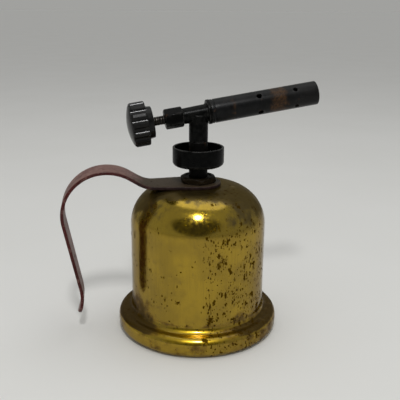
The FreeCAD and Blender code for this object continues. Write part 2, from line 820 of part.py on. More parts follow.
def valve_needle():
    slope = "(jet_inlet_radius - jet_orifice_radius) / jet_cone"
    taper_start = f"(jet_inlet_radius - running_gap - needle_radius) / ({slope})"
    seat = f"({JET_START} - {NEEDLE_START})"
    body = lengthwise("valve_needle", [
        ("0", "0"),
        ("0", "needle_radius"),
        (f"{seat} + {taper_start}", "needle_radius"),
        (f"{seat} + jet_cone", "jet_orifice_radius - running_gap"),
        (f"{seat} + jet_cone", "0"),
    ])
    place_on_burner(body, NEEDLE_START)
    return body


def knob():
    front = "knob_radius - knob_bevel"
    lobes_end = "knob_crown + knob_width"
    end = f"{lobes_end} + boss_length"
    bore = "insert_radius + fit_gap"
    crown_radius = f"(({front})^2 + knob_crown^2) / (2 * knob_crown)"
    body = lengthwise("knob", [
        ("0", "0", crown_radius, RIGHT),
        ("knob_crown", front),
        ("knob_crown + knob_bevel", "knob_radius"),
        (f"{lobes_end} - knob_bevel", "knob_radius"),
        (lobes_end, front),
        (lobes_end, "boss_radius"),
        (end, "boss_radius"),
        (end, bore),
        (f"{end} - insert_length", bore),
        (f"{end} - insert_length", "0"),
    ])
    flute = new_sketch(body, "YZ_Plane")
    centre = "(knob_radius - flute_depth + flute_radius)"
    across = f"{centre} * sin(flute_clocking * 1 deg)"
    up = f"{centre} * cos(flute_clocking * 1 deg)"
    draw_circle(flute, across, up, "flute_radius")
    polar(body, cut_through(body, flute, "Symmetric"), "X_Axis", 360, FLUTES)
    place_on_burner(body, KNOB_START)
    return body


def knob_insert():
    bore = "stem_radius + fit_gap"
    body = lengthwise("knob_insert", [
        ("0", bore),
        ("0", "insert_radius"),
        ("insert_length", "insert_radius"),
        ("insert_length", bore),
    ])
    place_on_burner(body, INSERT_START)
    return body


PIECES = [
    tank_shell,
    tank_bottom,
    filler_bush,
    filler_gasket,
    filler_plug,
    tank_spud,
    handle,
    handle_nut,
    standpipe,
    priming_cup,
    wick_tube,
    wick,
    burner_head,
    jet,
    burner_tube,
    packing_nut,
    packing_washer,
    packing_rings,
    valve_stem,
    valve_needle,
    knob,
    knob_insert,
]


def check(pieces):
    for item in doc.Objects:
        if "Invalid" in item.State or "Error" in item.State:
            raise RuntimeError(f"{item.Label} failed: {item.State}")
    for piece in pieces:
        if piece.Shape.isNull() or not piece.Shape.isValid():
            raise RuntimeError(f"{piece.Label} has no valid shape")


fill_sheet()
made = [make() for make in PIECES]
doc.recompute()
check(made)
os.makedirs("parts", exist_ok=True)
for piece in made:
    piece.Shape.exportStep(f"parts/{piece.Label}.step")
    print(piece.Label, len(piece.Shape.Solids), "solid(s)", round(piece.Shape.Volume, 1), "mm3")
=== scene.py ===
# %% [markdown]
# A small brass alcohol blowtorch stands on a pale bench. A drawn brass tank holds the spirit, a red steel
# strap is the handle, and a black iron burner with a plastic valve knob sits on top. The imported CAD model
# is loaded as a fixed frame. Each piece that shows is then made again with finer edges and an aged
# finish.

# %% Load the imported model
import json
import math

import bmesh
import bpy
from mathutils import Matrix, Vector, noise


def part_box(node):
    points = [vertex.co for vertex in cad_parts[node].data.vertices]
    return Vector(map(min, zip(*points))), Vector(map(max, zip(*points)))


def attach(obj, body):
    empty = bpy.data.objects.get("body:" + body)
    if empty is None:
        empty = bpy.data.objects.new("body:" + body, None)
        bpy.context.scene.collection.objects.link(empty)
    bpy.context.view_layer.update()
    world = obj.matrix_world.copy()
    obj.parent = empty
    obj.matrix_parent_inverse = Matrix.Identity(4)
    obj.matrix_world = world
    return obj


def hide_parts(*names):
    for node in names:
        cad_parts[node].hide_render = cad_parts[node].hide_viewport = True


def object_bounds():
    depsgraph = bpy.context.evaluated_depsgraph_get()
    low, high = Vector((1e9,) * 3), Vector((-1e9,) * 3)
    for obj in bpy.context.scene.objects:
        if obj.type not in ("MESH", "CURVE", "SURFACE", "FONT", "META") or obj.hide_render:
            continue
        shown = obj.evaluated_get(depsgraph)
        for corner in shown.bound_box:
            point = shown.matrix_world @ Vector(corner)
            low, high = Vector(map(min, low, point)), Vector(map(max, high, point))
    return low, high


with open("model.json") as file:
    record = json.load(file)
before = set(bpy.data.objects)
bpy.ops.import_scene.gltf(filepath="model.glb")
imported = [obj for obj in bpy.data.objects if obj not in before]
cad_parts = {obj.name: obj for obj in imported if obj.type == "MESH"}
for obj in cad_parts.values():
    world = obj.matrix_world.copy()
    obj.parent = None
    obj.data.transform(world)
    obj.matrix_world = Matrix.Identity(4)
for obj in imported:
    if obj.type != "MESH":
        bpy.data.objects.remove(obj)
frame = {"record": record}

cad_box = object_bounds()
MM = 0.001


def in_mm(box):
    return [[round(v / MM, 1) for v in corner] for corner in box]


print("CAD box in mm", in_mm(cad_box))

# %% [markdown]
# The camera comes first, because every later choice is judged through it. Its place, direction and small
# roll were fitted to the outline of tank, cup and burner tube, so only the numbers are written here.

# %% Camera
VIEW_FROM = Vector((-0.06585, -0.34069, 0.180))
VIEW_TOWARDS = Vector((0.1848, 0.9392, -0.2894)).normalized()
VIEW_ROLL = math.radians(0.49)
LENS_MM = 57.6
SENSOR_MM = 36.0

view_right = VIEW_TOWARDS.cross(Vector((0, 0, 1))).normalized()
view_up = view_right.cross(VIEW_TOWARDS)
rolled_right = view_right * math.cos(VIEW_ROLL) + view_up * math.sin(VIEW_ROLL)
rolled_up = view_up * math.cos(VIEW_ROLL) - view_right * math.sin(VIEW_ROLL)
camera = bpy.data.objects.new("camera", bpy.data.cameras.new("camera"))
camera.data.lens = LENS_MM
camera.data.sensor_width = SENSOR_MM
camera.data.clip_start = 10 * MM
camera_turn = Matrix((rolled_right, rolled_up, -VIEW_TOWARDS)).transposed().to_4x4()
camera.matrix_world = Matrix.Translation(VIEW_FROM) @ camera_turn
bpy.context.scene.collection.objects.link(camera)
bpy.context.scene.camera = camera
bpy.context.scene.view_settings.view_transform = "Standard"
print("camera at", [round(v, 4) for v in VIEW_FROM])

# %% [markdown]
# Node trees are built by a few small helpers. The first two add a node and fill in its sockets by name.
# The others add one kind of node each, in the tree that their links come from. They keep every finish
# below short enough to read.

# %% Node helpers
def fill(node, sockets):
    """Gives each named input of a node a value or a link."""
    for name, value in sockets.items():
        if isinstance(value, bpy.types.NodeSocket):
            node.id_data.links.new(value, node.inputs[name])
        else:
            node.inputs[name].default_value = value


def add(tree, kind, sockets=None, **settings):
    """Adds a node, sets its properties, then fills its inputs."""
    made = tree.nodes.new(kind)
    for name, value in settings.items():
        setattr(made, name, value)
    fill(made, sockets or {})
    return made


def tree_of(values):
    """The tree that the first link among some values is in."""
    return next(value.id_data for value in values if isinstance(value, bpy.types.NodeSocket))


def maths(operation, *values):
    """One Math node, with numbers or links for its inputs."""
    return add(tree_of(values), "ShaderNodeMath", dict(enumerate(values)), operation=operation).outputs[0]


def times(first, second):
    return maths("MULTIPLY", first, second)


def plus(first, second):
    return maths("ADD", first, second)


def minus(first, second):
    return maths("SUBTRACT", first, second)


def larger(first, second):
    return maths("MAXIMUM", first, second)


def vectors(operation, first, second):
    """One Vector Math node that makes a vector from two."""
    return add(first.id_data, "ShaderNodeVectorMath", {0: first, 1: second}, operation=operation).outputs[0]


def blended(factor, first, second):
    """A colour that goes from first to second."""
    colours = [(*value, 1) if isinstance(value, tuple) else value for value in (first, second)]
    made = add(factor.id_data, "ShaderNodeMix", {0: factor, 6: colours[0], 7: colours[1]}, data_type="RGBA")
    return made.outputs[2]


def ramp(value, low, high, bottom=0.0, top=1.0):
    """A value that rises smoothly from bottom to top between low and high."""
    made = add(value.id_data, "ShaderNodeMapRange", {0: value, 1: low, 2: high, 3: bottom, 4: top},
               interpolation_type="SMOOTHSTEP")
    return made.outputs[0]


def bumped(height, strength, depth):
    """The direction of a surface with fine relief."""
    made = add(height.id_data, "ShaderNodeBump", {"Strength": strength, "Distance": depth, "Height": height})
    return made.outputs[0]


def new_finish(name):
    """A material, its shader and the object coordinates."""
    material = bpy.data.materials.new(name)
    material.use_nodes = True
    nodes = material.node_tree.nodes
    return material, nodes["Principled BSDF"], nodes.new("ShaderNodeTexCoord").outputs["Object"]


def shader_group(name, inputs, outputs):
    """An empty shader group with named sockets: (name, type, default) in, (name, type) out."""
    tree = bpy.data.node_groups.new(name, "ShaderNodeTree")
    for label, kind, default in inputs:
        socket = tree.interface.new_socket(label, in_out="INPUT", socket_type=kind)
        if default is not None:
            socket.default_value = default
    for label, kind in outputs:
        tree.interface.new_socket(label, in_out="OUTPUT", socket_type=kind)
    return tree, tree.nodes.new("NodeGroupInput").outputs, tree.nodes.new("NodeGroupOutput")


FLOAT = "NodeSocketFloat"
VECTOR = "NodeSocketVector"
print("node helpers ready")

# %% [markdown]
# The bench is one large pale sheet that reaches far past the torch on every side. The light on it falls
# off towards the back, as it does under a small lamp.

# %% Bench
BENCH_HALF = 30.0
bench_finish, shader, place = new_finish("bench_paper")
mottle = add(place.id_data, "ShaderNodeTexNoise", {"Vector": place, "Scale": 9.0, "Detail": 2.0})
bench_tone = blended(mottle.outputs["Fac"], (0.735, 0.735, 0.705), (0.775, 0.775, 0.75))
fill(shader, {"Base Color": bench_tone, "Roughness": 0.9, "Specular IOR Level": 0.1})
bench_corners = [(x * BENCH_HALF, y * BENCH_HALF, 0) for x, y in ((-1, -1), (1, -1), (1, 1), (-1, 1))]
bench_mesh = bpy.data.meshes.new("bench")
bench_mesh.from_pydata(bench_corners, [], [(0, 1, 2, 3)])
bench_mesh.materials.append(bench_finish)
bench = bpy.data.objects.new("bench", bench_mesh)
bpy.context.scene.collection.objects.link(bench)
print("bench", 2 * BENCH_HALF, "m wide")

# %% [markdown]
# Polished brass shows its surroundings, so the lamps matter as much as the colour. The bright spot on the
# shoulder and the one on the foot both point to a round lamp above and behind the camera, and the soft
# bands above them to a broad light overhead. The glowing shade of the lamp is only reflected, because the
# lamp inside it already gives the light.

# %% Lamps
LAMP_TOWARDS = (-0.10, -0.58, 0.81)
PANEL_TOWARDS = (0.10, 0.16, 1.0)


def lamp(name, direction, distance, size, power):
    """An oval soft lamp, (width, height), that looks at the middle of the torch."""
    data = bpy.data.lights.new(name, "AREA")
    data.shape = "ELLIPSE"
    data.size, data.size_y = size
    data.energy = power
    made = bpy.data.objects.new(name, data)
    middle = (cad_box[0] + cad_box[1]) / 2
    made.location = middle + Vector(direction).normalized() * distance
    made.rotation_euler = (-Vector(direction)).to_track_quat("-Z", "Y").to_euler()
    bpy.context.scene.collection.objects.link(made)
    return made


lamp("front_lamp", LAMP_TOWARDS, distance=0.9, size=(0.09, 0.13), power=2.6)
shade = lamp("lamp_shade", LAMP_TOWARDS, distance=0.92, size=(0.16, 0.21), power=3.0)
shade.visible_diffuse = False
lamp("overhead_panel", PANEL_TOWARDS, distance=0.95, size=(1.0, 0.7), power=1.9)

# %% [markdown]
# The world adds the rest of the light. A room is dark behind a lamp, and a curved mirror shows that, so
# the world turns dark there for reflections only. Behind the bench the camera sees the tone that the
# bench has far away, so no horizon line crosses the picture.

# %% World
WORLD_LIGHT = 0.47
PALE_SURROUND = (0.41, 0.42, 0.40)
FAR_BENCH = (0.356, 0.356, 0.343)
DARK_ROOM = (0.085, 0.085, 0.078)
DARK_ASIDE = (0.965, -0.26, 0)
DARK_WIDTH = 0.72
DARK_HEIGHT = 0.43
DARK_RAISED = 0.42

world = bpy.data.worlds.new("studio")
bpy.context.scene.world = world
world.use_nodes = True
tree = world.node_tree
light = tree.nodes["Background"]
fill(light, {"Color": (1, 1, 1, 1), "Strength": WORLD_LIGHT})
path = tree.nodes.new("ShaderNodeLightPath").outputs
heading = tree.nodes.new("ShaderNodeTexCoord").outputs["Generated"]
to_right = add(tree, "ShaderNodeVectorMath", {0: heading, 1: DARK_ASIDE}, operation="DOT_PRODUCT")
axes = add(tree, "ShaderNodeSeparateXYZ", {0: heading}).outputs
wide = maths("POWER", maths("DIVIDE", to_right.outputs["Value"], DARK_WIDTH), 2.0)
tall = maths("POWER", maths("DIVIDE", minus(axes["Z"], DARK_RAISED), DARK_HEIGHT), 2.0)
oval = ramp(plus(wide, tall), 1.0, 0.6)
in_front = maths("LESS_THAN", axes["Y"], 0.0)
gloom = times(times(oval, in_front), path["Is Glossy Ray"])
shown = blended(gloom, PALE_SURROUND, DARK_ROOM)
shown = blended(path["Is Camera Ray"], shown, FAR_BENCH)
seen = add(tree, "ShaderNodeBackground", {"Color": shown, "Strength": 1.0}).outputs[0]
seen_ray = larger(larger(path["Is Camera Ray"], path["Is Glossy Ray"]), path["Is Transmission Ray"])
mixed = add(tree, "ShaderNodeMixShader", {0: seen_ray, 1: light.outputs[0], 2: seen}).outputs[0]
fill(tree.nodes["World Output"], {"Surface": mixed})
print("world light", WORLD_LIGHT)

# %% [markdown]
# Most of the torch was turned, drawn or spun, so one helper revolves an outline into a closed mesh.
# Another eases every corner of the outline into a small arc first. Real edges are never razor sharp, and
# the arc is what catches the light. A third divides long runs, so that later steps have points to move.

# %% Turning helpers
ON_AXIS = 1e-6
SHARP_ANGLE = math.radians(40)
ARC_DEGREES_PER_STEP = 40


def eased(corners, arc_steps=6):
    """Outline points from corners (radius, height, round), with each round drawn as an arc."""
    points = []
    for i, (x, y, size) in enumerate(corners):
        here = Vector((x, y))
        if size <= 0:
            points.append(here)
            continue
        before = Vector(corners[i - 1][:2]) - here
        after = Vector(corners[(i + 1) % len(corners)][:2]) - here
        opening = before.angle(after)
        reach = size / math.tan(opening / 2)
        bisector = (before.normalized() + after.normalized()).normalized()
        centre = here + bisector * (size / math.sin(opening / 2))
        start = here + before.normalized() * reach - centre
        end = here + after.normalized() * reach - centre
        swing = start.angle_signed(end)
        steps = max(arc_steps, round(abs(math.degrees(swing)) * size / MM / ARC_DEGREES_PER_STEP))
        for k in range(steps + 1):
            points.append(centre + start @ Matrix.Rotation(swing * k / steps, 2))
    return points


def stepped(outline, step, beyond=0.0):
    """The outline with its long runs divided, where they start further from the axis than a radius."""
    points = []
    for here, following in zip(outline, outline[1:] + outline[:1]):
        parts = max(1, round((following - here).length / step)) if here.x > beyond else 1
        points += [here.lerp(following, k / parts) for k in range(parts)]
    return points


def turned_bmesh(outline, turns=128):
    """A closed ring of quads: the outline revolved about Z, with a single point where it meets the axis."""
    bm = bmesh.new()
    rings = []
    for radius, height in outline:
        if radius < ON_AXIS:
            rings.append([bm.verts.new((0, 0, height))] * turns)
            continue
        angles = [2 * math.pi * k / turns for k in range(turns)]
        rings.append([bm.verts.new((radius * math.cos(a), radius * math.sin(a), height)) for a in angles])
    for ring, following in zip(rings, rings[1:] + rings[:1]):
        for k in range(turns):
            corners = [ring[k], ring[(k + 1) % turns], following[(k + 1) % turns], following[k]]
            loop = list(dict.fromkeys(corners))
            if len(loop) > 2:
                bm.faces.new(loop)
    return bm


def loose_object(name, bm):
    """An object from a closed bmesh, with its faces turned outwards."""
    bmesh.ops.recalc_face_normals(bm, faces=bm.faces)
    mesh = bpy.data.meshes.new(name)
    bm.to_mesh(mesh)
    bm.free()
    made = bpy.data.objects.new(name, mesh)
    bpy.context.scene.collection.objects.link(made)
    return made


def new_piece(name, bm):
    """A smooth piece, with hard edges kept where faces meet sharply."""
    piece = loose_object(name, bm)
    piece.data.shade_smooth()
    piece.data.set_sharp_from_angle(angle=SHARP_ANGLE)
    return piece


def finished(piece, material, body, *nodes):
    """Gives a piece its finish, its body and the CAD nodes it stands for."""
    piece.data.materials.clear()
    piece.data.materials.append(material)
    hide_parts(*nodes)
    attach(piece, body)
    print(piece.name, "stands for", ", ".join(nodes), "with", len(piece.data.polygons), "faces")
    return piece


print("turning helpers ready")

# %% [markdown]
# Three effects return in several finishes, so each is a shader group: small ragged specks, grain in two
# sizes, and edges rubbed bright by hands.

# %% Shared shader groups
specks_tree, given, result = shader_group(
    "ragged_specks",
    [("Vector", VECTOR, None), ("Spacing", FLOAT, 0.004), ("Amount", FLOAT, 0.4), ("Ragged", FLOAT, 0.4)],
    [("Mask", FLOAT)])
per_metre = maths("DIVIDE", 1.0, given["Spacing"])
fine_scale = times(per_metre, 2.6)
wobble = add(specks_tree, "ShaderNodeTexNoise",
             {"Vector": given["Vector"], "Scale": fine_scale, "Detail": 3.0})
wobble = vectors("SUBTRACT", wobble.outputs["Color"], (0.5, 0.5, 0.5))
push = times(given["Spacing"], given["Ragged"])
wobble = add(specks_tree, "ShaderNodeVectorMath", {0: wobble, "Scale": push}, operation="SCALE").outputs[0]
moved = vectors("ADD", given["Vector"], wobble)
cells = add(specks_tree, "ShaderNodeTexVoronoi", {"Vector": moved, "Scale": per_metre}).outputs
chance = add(specks_tree, "ShaderNodeSeparateColor", {0: cells["Color"]}).outputs[0]
threshold = minus(1.0, given["Amount"])
present = maths("GREATER_THAN", chance, threshold)
reach = ramp(chance, threshold, 1.0, 0.16, 0.5)
spot = ramp(cells["Distance"], reach, times(reach, 0.62))
fill(result, {"Mask": times(spot, present)})

grain_tree, given, result = shader_group(
    "two_size_grain",
    [("Vector", VECTOR, None), ("Broad", FLOAT, 0.012), ("Fine", FLOAT, 0.0008),
     ("Stretch", VECTOR, (1, 1, 1))],
    [("Broad", FLOAT), ("Fine", FLOAT)])
drawn = vectors("MULTIPLY", given["Vector"], given["Stretch"])
for size, detail in (("Broad", 3.0), ("Fine", 4.0)):
    scale = maths("DIVIDE", 1.0, given[size])
    grain = add(grain_tree, "ShaderNodeTexNoise", {"Vector": drawn, "Scale": scale, "Detail": detail})
    fill(result, {size: grain.outputs["Fac"]})

rub_tree, given, result = shader_group(
    "rubbed_edges",
    [("Vector", VECTOR, None), ("Edge", FLOAT, 0.0), ("Amount", FLOAT, 0.5)],
    [("Mask", FLOAT)])
patchy = add(rub_tree, "ShaderNodeTexNoise", {"Vector": given["Vector"], "Scale": 420.0, "Detail": 4.0})
uneven = ramp(patchy.outputs["Fac"], 0.35, 0.62)
fill(result, {"Mask": times(times(given["Edge"], uneven), given["Amount"])})
print("groups", [g.name for g in bpy.data.node_groups])

# %% [markdown]
# A finish places a group with its own values. Rubbed edges also need to know where an edge is, so a
# helper measures how tightly the mesh bends at each point and keeps that as an attribute of the piece.
# Other marks of age are kept in the same way.

# %% Placing the groups and marking the pieces
EDGE_ROUND = 0.7 * MM


def placed(group, **sockets):
    """One of the shared groups inside a finish."""
    return add(tree_of(sockets.values()), "ShaderNodeGroup", sockets, node_tree=group).outputs


def grained(place, broad, fine, stretch=(1, 1, 1)):
    """Grain in two sizes, in metres."""
    return placed(grain_tree, Vector=place, Broad=broad, Fine=fine, Stretch=stretch)


def speckled(place, spacing, amount, ragged):
    """A mask of ragged specks."""
    return placed(specks_tree, Vector=place, Spacing=spacing, Amount=amount, Ragged=ragged)["Mask"]


def marked(place, name):
    """A value that the piece keeps at each point."""
    return add(place.id_data, "ShaderNodeAttribute", attribute_name=name).outputs["Fac"]


def painted(place, name):
    """The three channels of a colour that the piece keeps at each point."""
    colour = add(place.id_data, "ShaderNodeAttribute", attribute_name=name).outputs["Color"]
    return add(place.id_data, "ShaderNodeSeparateColor", {0: colour}).outputs


def rubbed_bare(place, amount):
    """A mask of the rubbed edges."""
    return placed(rub_tree, Vector=place, Edge=marked(place, "edge"), Amount=amount)["Mask"]


def mark(piece, name, values):
    """Keeps a value at each point of a piece, or a colour where there are four numbers to a point."""
    plain = len(values) == len(piece.data.vertices)
    layer = piece.data.attributes.new(name, "FLOAT" if plain else "FLOAT_COLOR", "POINT")
    layer.data.foreach_set("value" if plain else "color", values)


def mark_edges(piece):
    """Keeps, at each point, how tightly the surface bends outwards compared with a small edge round."""
    bm = bmesh.new()
    bm.from_mesh(piece.data)
    found = []
    for vertex in bm.verts:
        bends = [0.0]
        for edge in vertex.link_edges:
            if len(edge.link_faces) == 2:
                first, second = edge.link_faces
                gap = (first.calc_center_median() - second.calc_center_median()).length
                bends.append(edge.calc_face_angle_signed(0.0) / max(gap, ON_AXIS))
        found.append(min(1.0, max(bends) * EDGE_ROUND))
    bm.free()
    mark(piece, "edge", found)


print("edges counted as round at", round(EDGE_ROUND / MM, 2), "mm")

# %% [markdown]
# The tank was drawn from one sheet of brass: a straight wall, a round shoulder and a foot rolled
# outwards. Its outline is revolved with an inner wall. Hand-worn sheet is never a perfect mirror, so the
# wall is then pushed in: a tenth of a millimetre by slow waves, more by a few dents, and most along one
# flattened side. These are what bend the reflections.

# %% Tank wall
foot_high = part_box("tank_shell")[1]
FOOT_RADIUS = foot_high.x
TANK_TOP = foot_high.z
TANK_RADIUS = 38.1 * MM
SHEET = 0.9 * MM
FOOT_TOP = 11.6 * MM
FOOT_CURL = 4.5 * MM
FOOT_ROUND = 4.3 * MM
ROOT_FILLET = 3.6 * MM
SHOULDER = 21.8 * MM
REST_RADIUS = 38.5 * MM
LIP_LINE = 1.7 * MM
LIP_DEPTH = 0.3 * MM
LIP_WIDTH = 0.35 * MM
TANK_HOLE = 7.45 * MM
WALL_STEP = 2 * MM
# Waves are (depth in mm, waves in a metre), the flattened side is (angle, width, depth) and each dent is
# (angle, height, width, depth), with angles in radians and the rest in mm.
SLOW_WAVE = (0.10, 38)
QUICK_WAVE = (0.035, 110)
WAVE_SHIFT = Vector((7, 0, 0))
FLATTENED = (-2.62, 10.5, 0.85)
DENTS = [(-1.15, 46, 9, 0.28), (-2.35, 30, 7, 0.22), (0.35, 55, 10, 0.3), (1.4, 38, 12, 0.35),
         (2.6, 60, 9, 0.25)]


def smooth(low, high, value):
    share = min(1.0, max(0.0, (value - low) / (high - low)))
    return share * share * (3 - 2 * share)


def arc_from(angle, middle):
    """How far round the wall one angle is from another, in mm."""
    return math.remainder(angle - middle, 2 * math.pi) * TANK_RADIUS / MM


def tank_wave(point):
    """How far the wall is pushed inwards at a point, in metres."""
    angle = math.atan2(point.y, point.x)
    height = point.z / MM
    push = SLOW_WAVE[0] * noise.noise(point * SLOW_WAVE[1])
    push += QUICK_WAVE[0] * noise.noise(point * QUICK_WAVE[1] + WAVE_SHIFT)
    at, size, depth = FLATTENED
    push += depth * math.exp(-(arc_from(angle, at) / size) ** 2)
    for at, level, size, depth in DENTS:
        away = arc_from(angle, at) ** 2 + (height - level) ** 2
        push += depth * math.exp(-away / (size * size))
    return push * MM * smooth(13, 22, height) * (1 - smooth(74, 83, height))


inner_radius = TANK_RADIUS - SHEET
inner_foot = FOOT_RADIUS - SHEET
tank_points = stepped(eased([
    (TANK_HOLE, TANK_TOP, 0),
    (TANK_RADIUS, TANK_TOP, SHOULDER),
    (TANK_RADIUS, FOOT_TOP, ROOT_FILLET),
    (FOOT_RADIUS, FOOT_TOP, FOOT_ROUND),
    (FOOT_RADIUS, 0, FOOT_CURL),
    (REST_RADIUS, 0, 0),
    (REST_RADIUS, SHEET, 0),
    (inner_foot, SHEET, FOOT_CURL - SHEET),
    (inner_foot, FOOT_TOP - SHEET, FOOT_ROUND - SHEET),
    (inner_radius, FOOT_TOP - SHEET, ROOT_FILLET + SHEET),
    (inner_radius, TANK_TOP - SHEET, SHOULDER - SHEET),
    (TANK_HOLE, TANK_TOP - SHEET, 0),
], arc_steps=16), WALL_STEP)
for point in tank_points:
    if point.x > REST_RADIUS + FOOT_CURL * 0.6 and point.y < FOOT_CURL:
        point.x -= LIP_DEPTH * math.exp(-((point.y - LIP_LINE) / LIP_WIDTH) ** 2)
bm = turned_bmesh(tank_points, turns=240)
for vertex in bm.verts:
    flat = Vector((vertex.co.x, vertex.co.y, 0))
    vertex.co -= flat.normalized() * tank_wave(vertex.co)
tank = new_piece("tank_shell_brass", bm)
print("tank", round(TANK_TOP / MM, 1), "mm tall with", len(tank.data.vertices), "points")

# %% [markdown]
# Age follows the shape, so it is worked out point by point. Smoke settled on the top, and the shoulders
# are darkened too, partly by smoke and partly as painted shade. Brown film lies on the ledge of the foot,
# a darker band runs round the wall just above the foot, and pits came on the side that stood in damp,
# thickest along one line. The three shares become the three channels of one colour. The root of the foot
# is hard to reach with a cloth, so it is marked too.

# %% Marks of age and painted shade on the tank
RIGHT_OF_VIEW = Vector((0.98, -0.19, 0))
PIT_CHAIN = 0.17
PIT_CHAIN_WIDTH = 0.021
ROOT_BAND = 15.2
ROOT_BAND_WIDTH = 1.6
age_and_shade_marks = []
unbuffed = []
for vertex in tank.data.vertices:
    height = vertex.co.z / MM
    radius = math.hypot(vertex.co.x, vertex.co.y)
    side = vertex.co.dot(RIGHT_OF_VIEW) / radius
    out = radius / MM
    to_side = smooth(0.2, 0.85, abs(side + 0.05))
    dome = smooth(79.6, 83.9, height)
    # The shoulders darken as well, partly with smoke and partly as painted shade.
    dome += 0.9 * smooth(0.25, 0.9, abs(side + 0.1)) * smooth(60, 78, height)
    ledge = smooth(38.2, 39.2, out) * smooth(8.5, 10.6, height) * (0.12 + (0.95 - 0.3 * side) * to_side)
    creeping = (1 - smooth(13, 36, height)) * to_side * (0.62 - 0.2 * side) * (1 - smooth(43, 45, out))
    # A darker band round the wall just above the foot.
    root = 0.42 * math.exp(-((height - ROOT_BAND) / ROOT_BAND_WIDTH) ** 2) * (1 - smooth(39.5, 40.5, out))
    rim = smooth(45, 45.8, out) * (0.32 + 0.14 * smooth(0.2, 0.7, side))
    pitted = 0.1 + 0.9 * smooth(0.0, 0.22, side) - 0.35 * smooth(0.75, 0.95, side)
    chain = math.exp(-((side - PIT_CHAIN) / PIT_CHAIN_WIDTH) ** 2)
    pitted += 1.7 * chain * (1 - smooth(45, 60, height))
    pitted *= (1 - 0.75 * smooth(64, 74, height)) * (1 - 0.5 * (1 - smooth(10, 13, height)))
    age_and_shade_marks += [min(dome, 1.0), max(ledge, creeping, root, rim), pitted, 1.0]
    unbuffed.append((1 - smooth(12, 18, height)) * smooth(8, 9.5, height))
mark(tank, "age_and_shade", age_and_shade_marks)
mark(tank, "unbuffed", unbuffed)
print("marked", len(unbuffed), "points")

# %% [markdown]
# The brass has lost much of its lacquer, and what is left is a thin clear coat. It is golden where it was
# last polished, streaked by old runs, browner where fumes reached it under the burner and on the ledge of
# the foot, and pitted. Its smoke grey also darkens the shoulders as painted shade. A restorer reads these
# as separate things, so the finish mixes separate masks over the metal.

# %% Aged brass, with painted shade on the shoulders
# Each layer of pits is (spacing, share, raggedness, stretch).
PIT_LAYERS = [(0.0015, 0.9, 1.1, (1.2, 1.2, 0.7)), (0.0027, 0.9, 1.3, (1.25, 1.25, 0.55)),
              (0.0042, 0.45, 1.6, (1, 1, 1.2))]
STAIN_BROWN = (0.200, 0.124, 0.006)
STREAK_BROWN = (0.205, 0.130, 0.006)
DAMP_BROWN = (0.170, 0.100, 0.006)
# Grey-brown of smoke, also used as painted shade on the shoulders.
SMOKE_AND_SHADE_GREY = (0.085, 0.064, 0.033)
FILM_AMBER = (0.165, 0.090, 0.005)
FILM_BROWN = (0.062, 0.039, 0.010)
PIT_BROWN = (0.062, 0.031, 0.001)
BRASS_GLINT = (0.48, 0.43, 0.34, 1)


def brass_finish(name, gold, olive, pit_amount, polish, lacquer):
    """Golden metal with runs, pits, a smoked top, painted shade on the shoulders and a brown ledge."""
    material, shader, place = new_finish(name)
    age_and_shade = painted(place, "age_and_shade")
    grain = grained(place, broad=0.016, fine=0.0011)
    cloud = grained(place, broad=0.0052, fine=0.0019)
    runs = grained(place, broad=0.0034, fine=0.0012, stretch=(1, 1, 0.07))
    tone = blended(ramp(grain["Broad"], 0.35, 0.65), gold, olive)
    tone = blended(times(ramp(cloud["Broad"], 0.5, 0.72), 0.3), tone, STAIN_BROWN)
    tone = blended(ramp(runs["Fine"], 0.5, 0.68, 0.0, 0.24), tone, STREAK_BROWN)
    damp = times(age_and_shade[2], ramp(grain["Broad"], 0.36, 0.58, 0.35, 1.0))
    tone = blended(times(damp, 0.12), tone, DAMP_BROWN)
    chained = times(ramp(runs["Broad"], 0.59, 0.66), age_and_shade[2])
    pits = speckled(place, spacing=0.0014, amount=chained, ragged=1.3)
    for spacing, share, ragged, stretch in PIT_LAYERS:
        run_down = vectors("MULTIPLY", place, stretch)
        pits = larger(pits, speckled(run_down, spacing, times(damp, pit_amount * share), ragged))
    uneven = times(minus(cloud["Broad"], 0.5), 1.3)
    trickled = times(minus(runs["Broad"], 0.5), 0.9)
    smoke_and_shade = ramp(plus(age_and_shade[0], plus(uneven, trickled)), 0.2, 0.85)
    # The film mask also carries the darker band just above the foot.
    film = ramp(plus(age_and_shade[1], times(uneven, 0.75)), 0.12, 0.85)
    # Smoke grey darkens the top, and on the shoulders it is partly painted shade.
    tone = blended(times(smoke_and_shade, 0.85), tone, SMOKE_AND_SHADE_GREY)
    tone = blended(ramp(film, 0.0, 0.7, 0.0, 0.85), tone, FILM_AMBER)
    tone = blended(ramp(film, 0.3, 1.0, 0.0, 0.9), tone, FILM_BROWN)
    tone = blended(times(pits, 0.95), tone, PIT_BROWN)
    dull = larger(pits, times(larger(smoke_and_shade, film), 0.7))
    rough = plus(ramp(cloud["Fine"], 0.3, 0.7, polish - 0.04, polish + 0.08), times(dull, 0.36))
    rough = plus(rough, times(marked(place, "unbuffed"), 0.18))
    relief = minus(times(grain["Fine"], 0.2), pits)
    fill(shader, {"Base Color": tone, "Roughness": rough, "Metallic": 1.0, "Specular Tint": BRASS_GLINT,
                  "Normal": bumped(relief, strength=0.24, depth=0.0001)})
    if lacquer:
        fill(shader, {"Coat Weight": ramp(dull, 0.0, 1.0, lacquer, 0.0), "Coat Roughness": 0.14})
    return material


tank_finish = brass_finish("aged_brass", (0.366, 0.240, 0.0105), (0.288, 0.188, 0.009),
                           pit_amount=0.85, polish=0.14, lacquer=0.6)
finished(tank, tank_finish, "torch", "tank_shell")

# %% [markdown]
# The handle is one strip of steel with an eye at one end. It lies flat under the nut, bends up, arches
# over the fingers and runs down to a small outward curl. A strip that follows a path could be a beveled
# curve, but its width changes while its thickness stays, so a rounded cross-section is carried along the
# path point by point.

# %% Path of the handle strip
STRIP = 1.8 * MM
EYE_RADIUS = 12.7 * MM
EYE_STEPS = 14
TIP_HALF = 6.6
TIP_STEPS = 10
NARROWEST = 0.04
PATH_STEP = 0.9 * MM
